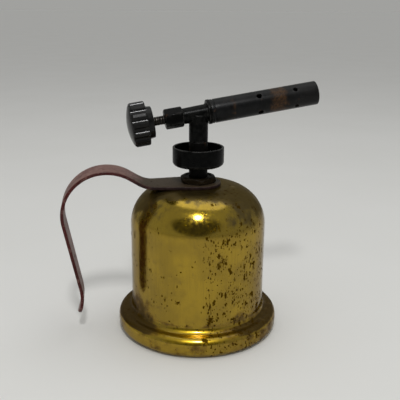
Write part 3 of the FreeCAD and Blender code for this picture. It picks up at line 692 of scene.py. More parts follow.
# Each stretch is (kind, length or radius, turn in degrees). Half widths are (length from the tank's axis,
# half width), in mm.
STRIP_PATH = [
    ("straight", 24.7 * MM, 0),
    ("bend", 17.0 * MM, 31.4),
    ("straight", 5.6 * MM, 0),
    ("bend", 24.4 * MM, -132.7),
    ("straight", 39.6 * MM, 0),
    ("bend", 26.2 * MM, 35.5),
]
HALF_WIDTHS = [(0, 12.7), (27.4, 9.4), (50, 9.1), (70, 8.75), (88, 8.5), (97, 8.3), (146, TIP_HALF),
               (400, TIP_HALF)]


def strip_stations():
    """Points of the strip's middle line with their headings: (out, up, heading, length so far)."""
    out, up, heading, run = 0.0, TANK_TOP + STRIP / 2, 0.0, 0.0
    stations = []
    for kind, size, turn in STRIP_PATH:
        length = size if kind == "straight" else size * math.radians(abs(turn))
        steps = max(2, round(length / PATH_STEP))
        for _ in range(steps):
            stations.append((out, up, heading, run))
            half_turn = math.radians(turn) / steps / 2
            heading += half_turn
            out += math.cos(heading) * length / steps
            up += math.sin(heading) * length / steps
            heading += half_turn
            run += length / steps
    stations.append((out, up, heading, run))
    return stations


def half_width(run, full):
    """Half the strip's width at a length from the tank's axis, with a round tip."""
    for (low, first), (high, second) in zip(HALF_WIDTHS, HALF_WIDTHS[1:]):
        if run / MM <= high:
            width = (first + (second - first) * (run / MM - low) / (high - low)) * MM
            break
    to_tip = full - run
    if to_tip < width:
        width *= math.sqrt(max(1 - (1 - to_tip / width) ** 2, NARROWEST ** 2))
    return width


stations = strip_stations()
full_run = stations[-1][3]
rows = []
for k in range(EYE_STEPS):
    angle = math.pi / 2 * (1 - k / EYE_STEPS)
    width = EYE_RADIUS * max(math.cos(angle), NARROWEST)
    rows.append((-EYE_RADIUS * math.sin(angle), stations[0][1], 0.0, width))
body_stations = [s for s in stations if s[3] < full_run - TIP_HALF * MM]
rows += [(out, up, heading, half_width(run, full_run)) for out, up, heading, run in body_stations]
last_out, last_up, last_heading, last_run = body_stations[-1]
curl_radius = STRIP_PATH[-1][1]
for k in range(1, TIP_STEPS + 1):
    run = last_run + (full_run - last_run) * math.sin(math.pi / 2 * k / TIP_STEPS)
    turn = (run - last_run) / curl_radius
    out = last_out + math.cos(last_heading + turn / 2) * (run - last_run)
    up = last_up + math.sin(last_heading + turn / 2) * (run - last_run)
    rows.append((out, up, last_heading + turn, half_width(run, full_run)))
print("strip is", round(full_run / MM, 1), "mm long in", len(rows), "rows")

# %% Handle strip
STRIP_ROUND = 0.5 * MM
FACE_PARTS = 6
HANDLE_SWING = math.radians(2.8)
outwards = Vector((-math.cos(HANDLE_SWING), math.sin(HANDLE_SWING), 0))
sideways = Vector((math.sin(HANDLE_SWING), math.cos(HANDLE_SWING), 0))


def strip_frame(out, up, heading):
    """The middle of the strip at a row, and the direction square to its broad face."""
    lift = Vector((0, 0, 1)) * math.cos(heading) - outwards * math.sin(heading)
    return outwards * out + Vector((0, 0, up)), lift


bm = bmesh.new()
loops = []
for out, up, heading, width in rows:
    corner = min(STRIP_ROUND, width * 0.5)
    section = eased([(x * width, y * STRIP / 2, corner) for x, y in ((1, 1), (-1, 1), (-1, -1), (1, -1))],
                    arc_steps=4)
    across = []
    for here, following in zip(section, section[1:] + section[:1]):
        parts = FACE_PARTS if abs(here.x - following.x) > width * 0.4 else 1
        across += [here.lerp(following, k / parts) for k in range(parts)]
    middle, lift = strip_frame(out, up, heading)
    loops.append([bm.verts.new(middle + sideways * p.x + lift * p.y) for p in across])
for loop, following in zip(loops, loops[1:]):
    for k in range(len(loop)):
        following_k = (k + 1) % len(loop)
        bm.faces.new((loop[k], loop[following_k], following[following_k], following[k]))
bm.faces.new(loops[0])
bm.faces.new(loops[-1])
section_points = len(loops[0])
handle = new_piece("handle_strap", bm)
strap_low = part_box("handle")[0]
for axis in ("x", "z"):
    reached = min(getattr(vertex.co, axis) for vertex in handle.data.vertices)
    print("strap's lowest", axis, round(reached / MM, 2), "CAD", round(getattr(strap_low, axis) / MM, 2))

# The second share marks the broad faces, which the finish lightens with a painted sheen.
worn = []
for vertex in handle.data.vertices:
    out, up, heading, width = rows[vertex.index // section_points]
    middle, lift = strip_frame(out, up, heading)
    broad = 1.0 if abs((vertex.co - middle).dot(lift)) > STRIP * 0.42 else 0.0
    worn += [1 - smooth(24, 44, out / MM), broad, 0.0, 1.0]
mark(handle, "wear", worn)
mark_edges(handle)

# %% [markdown]
# The strip was dipped in dark red enamel. Its broad faces are a mauve that is partly dulled by hands and
# partly a painted sheen of the light above, and its edges keep a darker red that is partly painted shade.
# The corners are rubbed through to steel, and spirit flames have cooked the paint brown near the nut. The
# gloss stays low, but it is there, so the arch still picks up a pale sheen from the light above.

# %% Worn red enamel with painted sheen and shade
RED = (0.066, 0.006, 0.006)
DEEP_RED = (0.042, 0.005, 0.005)
# A mauve for the broad faces: partly dust, partly a painted sheen of the light above.
DUST_AND_SHEEN_MAUVE = (0.208, 0.104, 0.084)
MOTTLE_DARK = (0.085, 0.030, 0.024)
MOTTLE_PALE = (0.300, 0.180, 0.150)
# Near the nut the edges are darker than the faces, partly as painted shade.
COOKED_SHADED_EDGE = (0.007, 0.003, 0.0025)
COOKED_FACE = (0.038, 0.029, 0.0135)
CHIP_DARK = (0.035, 0.016, 0.012)
RUBBED_RED = (0.085, 0.055, 0.048)
paint, shader, place = new_finish("worn_red_enamel")
smoked, broad = painted(place, "wear")[:2]
grain = grained(place, broad=0.009, fine=0.0007)
mottle = grained(place, broad=0.0021, fine=0.0009)["Broad"]
tone = blended(ramp(grain["Broad"], 0.35, 0.65), RED, DEEP_RED)
# The broad faces turn mauve with dust and painted sheen, and the edges keep the darker red, partly as painted
# shade.
tone = blended(times(broad, ramp(grain["Broad"], 0.3, 0.6, 0.35, 0.8)), tone, DUST_AND_SHEEN_MAUVE)
tone = blended(ramp(mottle, 0.52, 0.68, 0.0, 0.45), tone, MOTTLE_DARK)
tone = blended(ramp(mottle, 0.46, 0.34, 0.0, 0.3), tone, MOTTLE_PALE)
cooked = ramp(plus(smoked, times(minus(grain["Broad"], 0.5), 1.2)), 0.2, 0.8)
# Near the nut the faces turn a cooked olive-brown, and the edges go darker, partly as painted shade.
tone = blended(times(cooked, 0.9), tone, blended(broad, COOKED_SHADED_EDGE, COOKED_FACE))
chips = speckled(place, spacing=0.0026, amount=0.2, ragged=0.9)
tone = blended(times(chips, 0.7), tone, CHIP_DARK)
tone = blended(rubbed_bare(place, 0.3), tone, RUBBED_RED)
rough = plus(ramp(grain["Fine"], 0.3, 0.7, 0.36, 0.5), times(chips, 0.2))
rough = plus(rough, times(cooked, 0.16))
relief = minus(times(grain["Fine"], 0.5), chips)
fill(shader, {"Base Color": tone, "Roughness": rough, "Specular IOR Level": 0.16,
              "Normal": bumped(relief, strength=0.3, depth=0.0001)})
finished(handle, paint, "torch", "handle")

# %% [markdown]
# Everything above the tank was blackened by heat. New, it was blued iron. Now it is a satin near-black
# with fine scale, a little brown rust where damp settled, and grey metal on the corners that get knocked.
# One function makes this finish, and every black piece asks for its own share of rust and wear.

# %% Heat-black finish
BURNT_BROWN = (0.056, 0.027, 0.010)
ASH_BLACK = (0.010, 0.0095, 0.009)
RUST_BROWN = (0.030, 0.014, 0.006)
BARE_IRON = (0.062, 0.060, 0.056)


def heat_black(name, black, rust_share, wear, satin, gloss, heat_marks=False):
    """Blackened iron with rust blooms and worn corners, and bands of heat colour where the piece has them."""
    material, shader, place = new_finish(name)
    grain = grained(place, broad=0.006, fine=0.0006)
    lighter = tuple(v * 1.9 for v in black)
    tone = blended(ramp(grain["Broad"], 0.35, 0.68), black, lighter)
    if heat_marks:
        scorch = painted(place, "scorch")
        blotch = grained(place, broad=0.0034, fine=0.0010)
        burnt = ramp(plus(scorch[0], times(minus(blotch["Broad"], 0.5), 1.7)), 0.35, 1.1)
        tone = blended(times(burnt, ramp(blotch["Fine"], 0.38, 0.6, 0.4, 0.95)), tone, BURNT_BROWN)
        tone = blended(times(scorch[1], 0.6), tone, ASH_BLACK)
    rust = speckled(place, spacing=0.0026, amount=rust_share, ragged=1.3)
    tone = blended(times(rust, 0.75), tone, RUST_BROWN)
    tone = blended(rubbed_bare(place, wear), tone, BARE_IRON)
    rough = plus(ramp(grain["Fine"], 0.3, 0.7, satin - 0.05, satin + 0.1), times(rust, 0.25))
    relief = plus(times(grain["Fine"], 0.6), rust)
    fill(shader, {"Base Color": tone, "Roughness": rough, "Specular IOR Level": gloss,
                  "Normal": bumped(relief, strength=0.3, depth=0.00008)})
    return material


def black_piece(name, bm, finish, node):
    """A black piece that is fixed to the torch, with its edges marked for wear."""
    piece = new_piece(name, bm)
    mark_edges(piece)
    return finished(piece, finish, "torch", node)


iron_finish = heat_black("heat_black_iron", (0.0007, 0.0008, 0.0007),
                         rust_share=0.04, wear=0.5, satin=0.27, gloss=0.05)
rusty_finish = heat_black("rusty_black_iron", (0.0100, 0.0064, 0.0026),
                          rust_share=0.6, wear=0.18, satin=0.46, gloss=0.03)
sooty_finish = heat_black("sooty_iron", (0.0010, 0.0008, 0.0006),
                          rust_share=0.14, wear=0.3, satin=0.42, gloss=0.04)
print("finishes", iron_finish.name, rusty_finish.name, sooty_finish.name)

# %% [markdown]
# Two nuts hold the torch together: a thin one on the strap's eye and a long packing nut behind the
# burner. Both are hexagon bar with turned ends. The corners are cut away by a cone, which draws the
# curved lines seen on every nut. A lathe mesh gets that for free: each point goes to the hexagon or to
# the cone, whichever is nearer the axis.

# %% Nuts
CONE_SLOPE = math.tan(math.radians(32))
CONE_STEPS = 5
CORNER_EASE = 0.1 * MM


def soft_min(first, second, ease):
    """The smaller of two lengths, with the switch between them eased."""
    return -ease * math.log(math.exp(-first / ease) + math.exp(-second / ease))


def hexagon_bmesh(flats, low, high, bore, corner_at):
    """A nut about Z with a corner at one angle and coned ends."""
    half = flats / 2
    cone_height = 0.11 * half
    steps = [cone_height * k / CONE_STEPS for k in range(CONE_STEPS + 1)]
    levels = [low + s for s in steps] + [(low + high) / 2] + [high - s for s in reversed(steps)]
    bm = turned_bmesh([(bore, low)] + [(half, z) for z in levels] + [(bore, high)], turns=180)
    for vertex in bm.verts:
        if vertex.co.xy.length > bore * 1.02:
            turn = math.remainder(vertex.co.xy.angle_signed(Vector((1, 0))) - corner_at, math.pi / 3)
            flat = half / math.cos(math.pi / 6 - abs(turn))
            cone = half * 0.97 + min(vertex.co.z - low, high - vertex.co.z) / CONE_SLOPE
            wanted = soft_min(soft_min(flat, half * 1.135, CORNER_EASE), cone, CORNER_EASE)
            vertex.co.xy *= wanted / vertex.co.xy.length
    return bm


nut_low, nut_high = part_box("handle_nut")
NUT_FLATS = 18.4 * MM
SPUD_RADIUS = 7.45 * MM
CORNER_TO_FRONT = math.radians(-90)
nut_bm = hexagon_bmesh(NUT_FLATS, nut_low.z, nut_high.z, SPUD_RADIUS, CORNER_TO_FRONT)
black_piece("strap_nut", nut_bm, rusty_finish, "handle_nut")

# %% [markdown]
# The standpipe carries the wick up to the burner. It passes through the priming cup, a small spun dish
# that is filled with spirit and lit to warm the burner. Both are turned outlines with eased edges. The
# cup keeps its thin rim, which shows as a grey line where fingers have rubbed the black away.

# %% Standpipe and priming cup
pipe_low, pipe_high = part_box("standpipe")
PIPE_RADIUS = 5.2 * MM
PIPE_BORE = 4.05 * MM
SPIGOT_RADIUS = 4.4 * MM
SPIGOT = 5.0 * MM
pipe_shoulder = pipe_high.z - SPIGOT
pipe_outline = eased([
    (PIPE_BORE, pipe_low.z, 0), (PIPE_RADIUS, pipe_low.z, 0.3 * MM),
    (PIPE_RADIUS, pipe_shoulder, 0.35 * MM), (SPIGOT_RADIUS, pipe_shoulder, 0),
    (SPIGOT_RADIUS, pipe_high.z, 0), (PIPE_BORE, pipe_high.z, 0)], arc_steps=4)
black_piece("standpipe_iron", turned_bmesh(pipe_outline, turns=96), sooty_finish, "standpipe")

cup_low, cup_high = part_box("priming_cup")
CUP_RADIUS = cup_high.x
CUP_WALL = 1.2 * MM
CUP_CORNER = 2.2 * MM
CUP_COLLAR = 6.8 * MM
CUP_PLAY = 0.05 * MM
collar_top = cup_low.z + 4.0 * MM
cup_hole = PIPE_RADIUS + CUP_PLAY
cup_floor = cup_low.z + CUP_WALL
cup_inside = CUP_RADIUS - CUP_WALL
cup_outline = eased([
    (cup_hole, cup_low.z, 0.2 * MM), (CUP_RADIUS, cup_low.z, CUP_CORNER),
    (CUP_RADIUS, cup_high.z, 0.5 * MM), (cup_inside, cup_high.z, 0.4 * MM),
    (cup_inside, cup_floor, CUP_CORNER - CUP_WALL), (CUP_COLLAR, cup_floor, 0.5 * MM),
    (CUP_COLLAR, collar_top, 0.4 * MM), (cup_hole, collar_top, 0.2 * MM)], arc_steps=7)
black_piece("priming_cup_iron", turned_bmesh(cup_outline, turns=160), iron_finish, "priming_cup")

# %% [markdown]
# The burner leans back a little, so its pieces are drawn upright about Z, with zero where the burner's
# axis crosses the standpipe's, and are then turned into place. The turned axis is read from the packed
# record, where the burner mouth is a mount. That keeps the lean in one place only.

# %% Burner axis
TUBE_END = 67.1 * MM
mouth = next(m for m in frame["record"]["mounts"] if m["name"] == "burner_mouth")
along = Vector(mouth["axis"]).normalized()
crossing = Vector(mouth["pos_m"]) - along * TUBE_END
aside = Vector((0, 1, 0))
upwards = along.cross(aside)
burner_place = Matrix.Translation(crossing) @ Matrix((aside, upwards, along)).transposed().to_4x4()
lean = math.degrees(math.asin(along.z))
print("burner leans", round(lean, 2), "degrees, axes cross at", round(crossing.z / MM, 2))


def leaned(bm):
    """Turns a mesh that was drawn about Z onto the burner's axis."""
    bmesh.ops.transform(bm, matrix=burner_place, verts=bm.verts)
    return bm


def solid_of(source):
    """A plain mesh of what an object looks like with its modifiers, which are then dropped."""
    shown = source.evaluated_get(bpy.context.evaluated_depsgraph_get())
    mesh = bpy.data.meshes.new_from_object(shown)
    bpy.data.objects.remove(source)
    bm = bmesh.new()
    bm.from_mesh(mesh)
    bpy.data.meshes.remove(mesh)
    return bm


def poured_together(*parts):
    """One bmesh that holds several others."""
    whole = bmesh.new()
    for part in parts:
        mesh = bpy.data.meshes.new("part")
        part.to_mesh(mesh)
        part.free()
        whole.from_mesh(mesh)
        bpy.data.meshes.remove(mesh)
    return whole


# %% [markdown]
# The burner head is a small casting: a neck and a slightly coned arm that meet in a tee. A casting has no
# sharp inner corners. So the two shapes are poured together, remeshed into one skin and smoothed, which
# leaves a soft fillet where they meet. The machined rings stay crisp, so they are added after the
# smoothing.

# %% Burner head
head_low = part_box("burner_head")[0]
NECK_RADIUS = 5.25 * MM
ARM_BACK = -8.6 * MM
ARM_FRONT = 6.3 * MM
ARM_BACK_RADIUS = 4.3 * MM
ARM_FRONT_RADIUS = 4.65 * MM
VOXEL = 0.24 * MM
SMOOTHING = 14
STEM_BORE = 2.66 * MM
BORE_BACK = -20 * MM
BORE_FRONT = 9 * MM


def rod_bmesh(low, high, low_radius, high_radius, turns):
    """A plain round rod about Z, which may taper."""
    return turned_bmesh([(0, low), (low_radius, low), (high_radius, high), (0, high)], turns)


neck = rod_bmesh(head_low.z, crossing.z - 0.5 * MM, NECK_RADIUS, NECK_RADIUS, turns=96)
arm = leaned(rod_bmesh(ARM_BACK, ARM_FRONT, ARM_BACK_RADIUS, ARM_FRONT_RADIUS, turns=96))
casting = loose_object("casting", poured_together(neck, arm))
drill = loose_object("drill", leaned(rod_bmesh(BORE_BACK, BORE_FRONT, STEM_BORE, STEM_BORE, turns=64)))
skin = casting.modifiers.new("skin", "REMESH")
skin.mode = "VOXEL"
skin.voxel_size = VOXEL
soften = casting.modifiers.new("soften", "SMOOTH")
soften.factor = 0.5
soften.iterations = SMOOTHING
bored = casting.modifiers.new("bored", "BOOLEAN")
bored.operation = "DIFFERENCE"
bored.object = drill
cast_body = solid_of(casting)
bpy.data.objects.remove(drill)

GLAND_RADIUS = 4.0 * MM
GLAND_BACK = -16 * MM
GLAND_FRONT = -7 * MM
NOSE_RADIUS = 5.88 * MM
NOSE_END = 13 * MM
COLLAR_RADIUS = 6.75 * MM
COLLAR_BACK = 4.8 * MM
COLLAR_FRONT = 6.6 * MM
COLLAR_ROOT = 4.0 * MM
ROOT_RADIUS = 4.9 * MM
JET_RADIUS = 3.03 * MM
gland = turned_bmesh(eased([
    (STEM_BORE, GLAND_BACK, 0), (GLAND_RADIUS, GLAND_BACK, 0.3 * MM), (GLAND_RADIUS, GLAND_FRONT, 0),
    (STEM_BORE, GLAND_FRONT, 0)]), turns=64)
collar = turned_bmesh(eased([
    (JET_RADIUS, COLLAR_ROOT, 0), (ROOT_RADIUS, COLLAR_ROOT, 0), (ROOT_RADIUS, COLLAR_BACK, 0),
    (COLLAR_RADIUS, COLLAR_BACK, 0.35 * MM), (COLLAR_RADIUS, COLLAR_FRONT, 0.25 * MM),
    (NOSE_RADIUS, COLLAR_FRONT, 0), (NOSE_RADIUS, NOSE_END, 0.3 * MM), (JET_RADIUS, NOSE_END, 0)]), turns=128)
head_bm = poured_together(cast_body, leaned(poured_together(gland, collar)))
black_piece("burner_head_casting", head_bm, iron_finish, "burner_head")

# %% [markdown]
# The burner tube draws air through two rings of four small holes. Holes that repeat round a tube are a
# job for Geometry Nodes: a few points stand on the axis, a drill lies across each of them, and one
# Boolean cuts every hole at once. Each drill passes right through, so two drills make four holes. The
# sizes are named inputs.

# %% Air hole rings
def rule_tree(name, inputs):
    """A Geometry Nodes tree with a mesh and named sizes in, and a mesh out."""
    tree = bpy.data.node_groups.new(name, "GeometryNodeTree")
    tree.interface.new_socket("Geometry", in_out="INPUT", socket_type="NodeSocketGeometry")
    for label, kind in inputs:
        tree.interface.new_socket(label, in_out="INPUT", socket_type=kind)
    tree.interface.new_socket("Finish", in_out="INPUT", socket_type="NodeSocketMaterial")
    tree.interface.new_socket("Geometry", in_out="OUTPUT", socket_type="NodeSocketGeometry")
    return tree, tree.nodes.new("NodeGroupInput").outputs, tree.nodes.new("NodeGroupOutput")


def ended(result, geometry, finish):
    """Closes a tree: real geometry with its finish."""
    real = add(result.id_data, "GeometryNodeRealizeInstances", {"Geometry": geometry}).outputs[0]
    dressed = add(result.id_data, "GeometryNodeSetMaterial", {"Geometry": real, "Material": finish})
    fill(result, {"Geometry": dressed.outputs[0]})


def shaped_by(source, tree, **sizes):
    """Runs a tree on an object and gives back the finished bmesh."""
    modifier = source.modifiers.new(tree.name, "NODES")
    modifier.node_group = tree
    for item in tree.interface.items_tree:
        if item.in_out == "INPUT" and item.name in sizes:
            modifier[item.identifier] = sizes[item.name]
    return solid_of(source)


INTEGER = "NodeSocketInt"
DRILL_SIDES = 40
holes_tree, given, result = rule_tree("air_hole_rings", [
    ("Drills", INTEGER), ("Clocking", FLOAT), ("Reach", FLOAT), ("First_Place", FLOAT),
    ("First_Radius", FLOAT), ("Second_Place", FLOAT), ("Second_Radius", FLOAT)])
drilling = holes_tree.nodes.new("GeometryNodeJoinGeometry")
for ring in ("First", "Second"):
    spot = add(holes_tree, "ShaderNodeCombineXYZ", {"Z": given[f"{ring}_Place"]}).outputs[0]
    points = add(holes_tree, "GeometryNodePoints", {"Count": given["Drills"], "Position": spot}).outputs[0]
    number = holes_tree.nodes.new("GeometryNodeInputIndex").outputs[0]
    share = maths("DIVIDE", times(number, math.pi), given["Drills"])
    turn = plus(share, given["Clocking"])
    lying = add(holes_tree, "ShaderNodeCombineXYZ", {"X": math.pi / 2, "Z": turn}).outputs[0]
    bit = add(holes_tree, "GeometryNodeMeshCylinder", {
        "Vertices": DRILL_SIDES, "Radius": given[f"{ring}_Radius"], "Depth": given["Reach"]}).outputs["Mesh"]
    drills = add(holes_tree, "GeometryNodeInstanceOnPoints", {
        "Points": points, "Instance": bit, "Rotation": lying}).outputs[0]
    holes_tree.links.new(drills, drilling.inputs[0])
real_drills = add(holes_tree, "GeometryNodeRealizeInstances", {"Geometry": drilling.outputs[0]}).outputs[0]
drilled = add(
    holes_tree, "GeometryNodeMeshBoolean",
    {"Mesh 1": given["Geometry"], "Mesh 2": real_drills, "Self Intersection": True},
    solver="EXACT", operation="DIFFERENCE").outputs["Mesh"]
ended(result, drilled, given["Finish"])
print("tree", holes_tree.name, "with", len(holes_tree.nodes), "nodes")

# %% Burner tube
TUBE_START = 6.6 * MM
TUBE_RADIUS = 6.55 * MM
TUBE_BORE = 5.6 * MM
SOCKET_BORE = 5.95 * MM
SOCKET_END = 13.0 * MM
TUBE_STEP = 2.5 * MM
GROOVE = 8.4 * MM
GROOVE_HALF = 0.45 * MM
GROOVE_FLOOR_HALF = 0.2 * MM
groove_radius = TUBE_RADIUS - 0.28 * MM
tube_points = stepped(eased([
    (SOCKET_BORE, TUBE_START, 0), (TUBE_RADIUS, TUBE_START, 0.2 * MM),
    (TUBE_RADIUS, GROOVE - GROOVE_HALF, 0.1 * MM), (groove_radius, GROOVE - GROOVE_FLOOR_HALF, 0.08 * MM),
    (groove_radius, GROOVE + GROOVE_FLOOR_HALF, 0.08 * MM), (TUBE_RADIUS, GROOVE + GROOVE_HALF, 0.1 * MM),
    (TUBE_RADIUS, TUBE_END, 0.3 * MM), (TUBE_BORE, TUBE_END, 0.3 * MM), (TUBE_BORE, SOCKET_END, 0),
    (SOCKET_BORE, SOCKET_END, 0)], arc_steps=4), TUBE_STEP)
tube_finish = heat_black("heat_marked_tube", (0.0026, 0.0027, 0.0029),
                         rust_share=0.14, wear=0.4, satin=0.32, gloss=0.12, heat_marks=True)
tube_bm = shaped_by(
    loose_object("plain_tube", turned_bmesh(tube_points, turns=128)), holes_tree, Drills=2,
    Clocking=math.radians(45), Reach=30 * MM, First_Place=33.6 * MM, First_Radius=1.6 * MM,
    Second_Place=54.3 * MM, Second_Radius=1.3 * MM, Finish=tube_finish)
# Each band is (place along the tube, half width, strength), in mm.
HEAT_BANDS = [(44.5, 7.4, 1.0), (18.5, 3.0, 0.5), (60.5, 4.0, 0.25)]
scorched = []
for vertex in tube_bm.verts:
    run = vertex.co.z / MM
    burnt = sum(share * (1 - smooth(0.35 * half, half, abs(run - at))) for at, half, share in HEAT_BANDS)
    scorched += [min(burnt, 1.0), smooth(47, 58, run), 0.0, 1.0]
burner_tube = black_piece("burner_tube_iron", leaned(tube_bm), tube_finish, "burner_tube")
mark(burner_tube, "scorch", scorched)

# %% Packing nut
PACKING_FLATS = 10.0 * MM
PACKING_LOW = -18.9 * MM
PACKING_HIGH = -8.9 * MM
CORNER_UP = math.radians(90)
packing_bm = leaned(hexagon_bmesh(PACKING_FLATS, PACKING_LOW, PACKING_HIGH, STEM_BORE, CORNER_UP))
black_piece("packing_nut_iron", packing_bm, iron_finish, "packing_nut")

# %% [markdown]
# The valve stem is a steel screw, and a screw thread follows a path: a helix. In Geometry Nodes a spiral
# curve carries a small six-sided profile round a plain core. Pitch, crest and length are inputs, so the
# same tree would cut any thread on this torch. The steel is dark and oily, with the crests rubbed bright.

# %% Screw thread and dark steel
SPIRAL_STEPS = 48
RIDGE_SIDES = 6
thread_tree, given, result = rule_tree(
    "screw_thread", [(size, FLOAT) for size in ("Core", "Crest", "Pitch", "Start", "Length")])
spiral = add(thread_tree, "GeometryNodeCurveSpiral", {
    "Resolution": SPIRAL_STEPS, "Rotations": maths("DIVIDE", given["Length"], given["Pitch"]),
    "Start Radius": given["Core"], "End Radius": given["Core"], "Height": given["Length"]}).outputs[0]
ridge = minus(given["Crest"], given["Core"])
profile = add(thread_tree, "GeometryNodeCurvePrimitiveCircle", {"Resolution": RIDGE_SIDES, "Radius": ridge})
helix = add(thread_tree, "GeometryNodeCurveToMesh", {
    "Curve": spiral, "Profile Curve": profile.outputs[0], "Fill Caps": True}).outputs[0]
raised = add(thread_tree, "ShaderNodeCombineXYZ", {"Z": given["Start"]}).outputs[0]
helix = add(thread_tree, "GeometryNodeTransform", {"Geometry": helix, "Translation": raised}).outputs[0]
rod = thread_tree.nodes.new("GeometryNodeJoinGeometry")
thread_tree.links.new(given["Geometry"], rod.inputs[0])
thread_tree.links.new(helix, rod.inputs[0])
ended(result, rod.outputs[0], given["Finish"])

steel, shader, place = new_finish("oily_dark_steel")
grain = grained(place, broad=0.004, fine=0.0005)
tone = blended(ramp(grain["Broad"], 0.35, 0.65), (0.006, 0.0055, 0.005), (0.014, 0.012, 0.010))
tone = blended(rubbed_bare(place, 0.45), tone, (0.070, 0.064, 0.055))
fill(shader, {"Base Color": tone, "Roughness": ramp(grain["Fine"], 0.3, 0.7, 0.3, 0.46), "Metallic": 0.8})
print("tree", thread_tree.name, "and finish", steel.name)

# %% Valve stem
STEM_CORE = 2.12 * MM
STEM_CREST = 2.48 * MM
STEM_INNER = -2.6 * MM
STEM_OUTER = -35.0 * MM
core_outline = eased([
    (0, STEM_OUTER, 0), (STEM_CORE, STEM_OUTER, 0.2 * MM), (STEM_CORE, STEM_INNER, 0.3 * MM),
    (0, STEM_INNER, 0)], arc_steps=3)
stem_bm = shaped_by(
    loose_object("stem_core", turned_bmesh(core_outline, turns=64)), thread_tree, Core=STEM_CORE,
    Crest=STEM_CREST, Pitch=0.8 * MM, Start=-31 * MM, Length=20 * MM, Finish=steel)
valve_stem = new_piece("valve_stem_steel", leaned(stem_bm))
mark_edges(valve_stem)
finished(valve_stem, steel, "spindle", "valve_stem")

# %% [markdown]
# The knob is moulded plastic: a smooth domed disc with fourteen finger hollows round its rim and a plain
# boss behind. The hollows follow a rule. Each is a round cutter that stands just outside the rim, so
# Geometry Nodes move every point in to the cutter's wall when it would lie inside, with the switch eased
# so that the lands keep soft corners.

# %% Finger hollows
flute_tree, given, result = rule_tree("finger_hollows", [("Hollows", INTEGER)] + [
    (size, FLOAT) for size in ("Cutter", "Centre", "Clocking", "Ease", "Front", "Back")])
where = flute_tree.nodes.new("GeometryNodeInputPosition").outputs[0]
spot = add(flute_tree, "ShaderNodeSeparateXYZ", {0: where}).outputs
radius = maths("SQRT", plus(times(spot["X"], spot["X"]), times(spot["Y"], spot["Y"])))
angle = minus(maths("ARCTAN2", spot["Y"], spot["X"]), given["Clocking"])
sector = maths("DIVIDE", math.pi, given["Hollows"])
turn = maths("WRAP", angle, sector, times(sector, -1.0))
across = times(given["Centre"], maths("SINE", turn))
depth = times(given["Centre"], maths("COSINE", turn))
chord = minus(times(given["Cutter"], given["Cutter"]), times(across, across))
missed = minus(1.0, maths("GREATER_THAN", chord, 0.0))
wall = minus(depth, maths("SQRT", larger(chord, 0.0)))
cut = maths("SMOOTH_MIN", radius, plus(wall, missed), given["Ease"])
in_front = maths("GREATER_THAN", spot["Z"], given["Front"])
on_rim = times(in_front, maths("LESS_THAN", spot["Z"], given["Back"]))
share = maths("DIVIDE", cut, larger(radius, ON_AXIS))
kept = plus(1.0, times(on_rim, minus(share, 1.0)))
moved = add(flute_tree, "ShaderNodeCombineXYZ", {
    "X": times(spot["X"], kept), "Y": times(spot["Y"], kept), "Z": spot["Z"]}).outputs[0]
hollowed = add(flute_tree, "GeometryNodeSetPosition", {"Geometry": given["Geometry"], "Position": moved})
ended(result, hollowed.outputs[0], given["Finish"])
print("tree", flute_tree.name, "with", len(flute_tree.nodes), "nodes")

# %% [markdown]
# The plastic is glossy and nearly black, with a little dust. Fingers have scuffed the lands between the
# hollows, so they are marked and made duller, and only the hollows still show thin lines of light.

# %% Moulded plastic
plastic, shader, place = new_finish("moulded_black_plastic")
grain = grained(place, broad=0.005, fine=0.0007)
tone = blended(ramp(grain["Broad"], 0.35, 0.65), (0.0050, 0.0050, 0.0052), (0.0085, 0.0083, 0.0080))
dust = speckled(place, spacing=0.0021, amount=0.18, ragged=0.9)
tone = blended(times(dust, 0.35), tone, (0.028, 0.026, 0.021))
scuffed = marked(place, "scuffed")
tone = blended(times(scuffed, 0.5), tone, (0.008, 0.0075, 0.0065))
rough = plus(ramp(grain["Fine"], 0.3, 0.7, 0.16, 0.25), times(dust, 0.2))
rough = plus(rough, times(scuffed, 0.2))
fill(shader, {"Base Color": tone, "Roughness": rough, "Specular IOR Level": 0.15,
              "Normal": bumped(grain["Fine"], strength=0.12, depth=0.00008)})
print("finish", plastic.name)

# %% Knob
KNOB_BACK = -28.5 * MM
KNOB_FACE = -36.8 * MM
KNOB_RADIUS = 12.0 * MM
KNOB_BEVEL = 1.2 * MM
BOSS_RADIUS = 8.5 * MM
BOSS_BACK = -25.3 * MM
BOSS_FLARE = 0.4 * MM
INSERT_RADIUS = 4.5 * MM
INSERT_END = KNOB_FACE + 1.2 * MM
CROWN = 2.6 * MM
CROWN_STEPS = 16
RIM_INSET = KNOB_RADIUS - KNOB_BEVEL * 0.7
RIM_STEP = 0.6 * MM
crown_ball = (KNOB_RADIUS ** 2 + CROWN ** 2) / (2 * CROWN)
face_points = []
for k in range(CROWN_STEPS + 1):
    across = RIM_INSET * k / CROWN_STEPS
    rise = math.sqrt(crown_ball ** 2 - across ** 2) - (crown_ball - CROWN)
    face_points.append(Vector((across, KNOB_FACE - rise)))
rim_low = face_points[-1].y
knob_outline = face_points[:-1] + eased([
    (RIM_INSET, rim_low, 0.5 * MM), (KNOB_RADIUS, rim_low + 1.1 * MM, 0.7 * MM),
    (KNOB_RADIUS, KNOB_BACK, 0.8 * MM), (BOSS_RADIUS + BOSS_FLARE, KNOB_BACK, 0.3 * MM),
    (BOSS_RADIUS, BOSS_BACK, 0.5 * MM), (INSERT_RADIUS, BOSS_BACK, 0),
    (INSERT_RADIUS, INSERT_END, 0), (0, INSERT_END, 0)], arc_steps=6)
knob_points = stepped(knob_outline, RIM_STEP, beyond=BOSS_RADIUS)
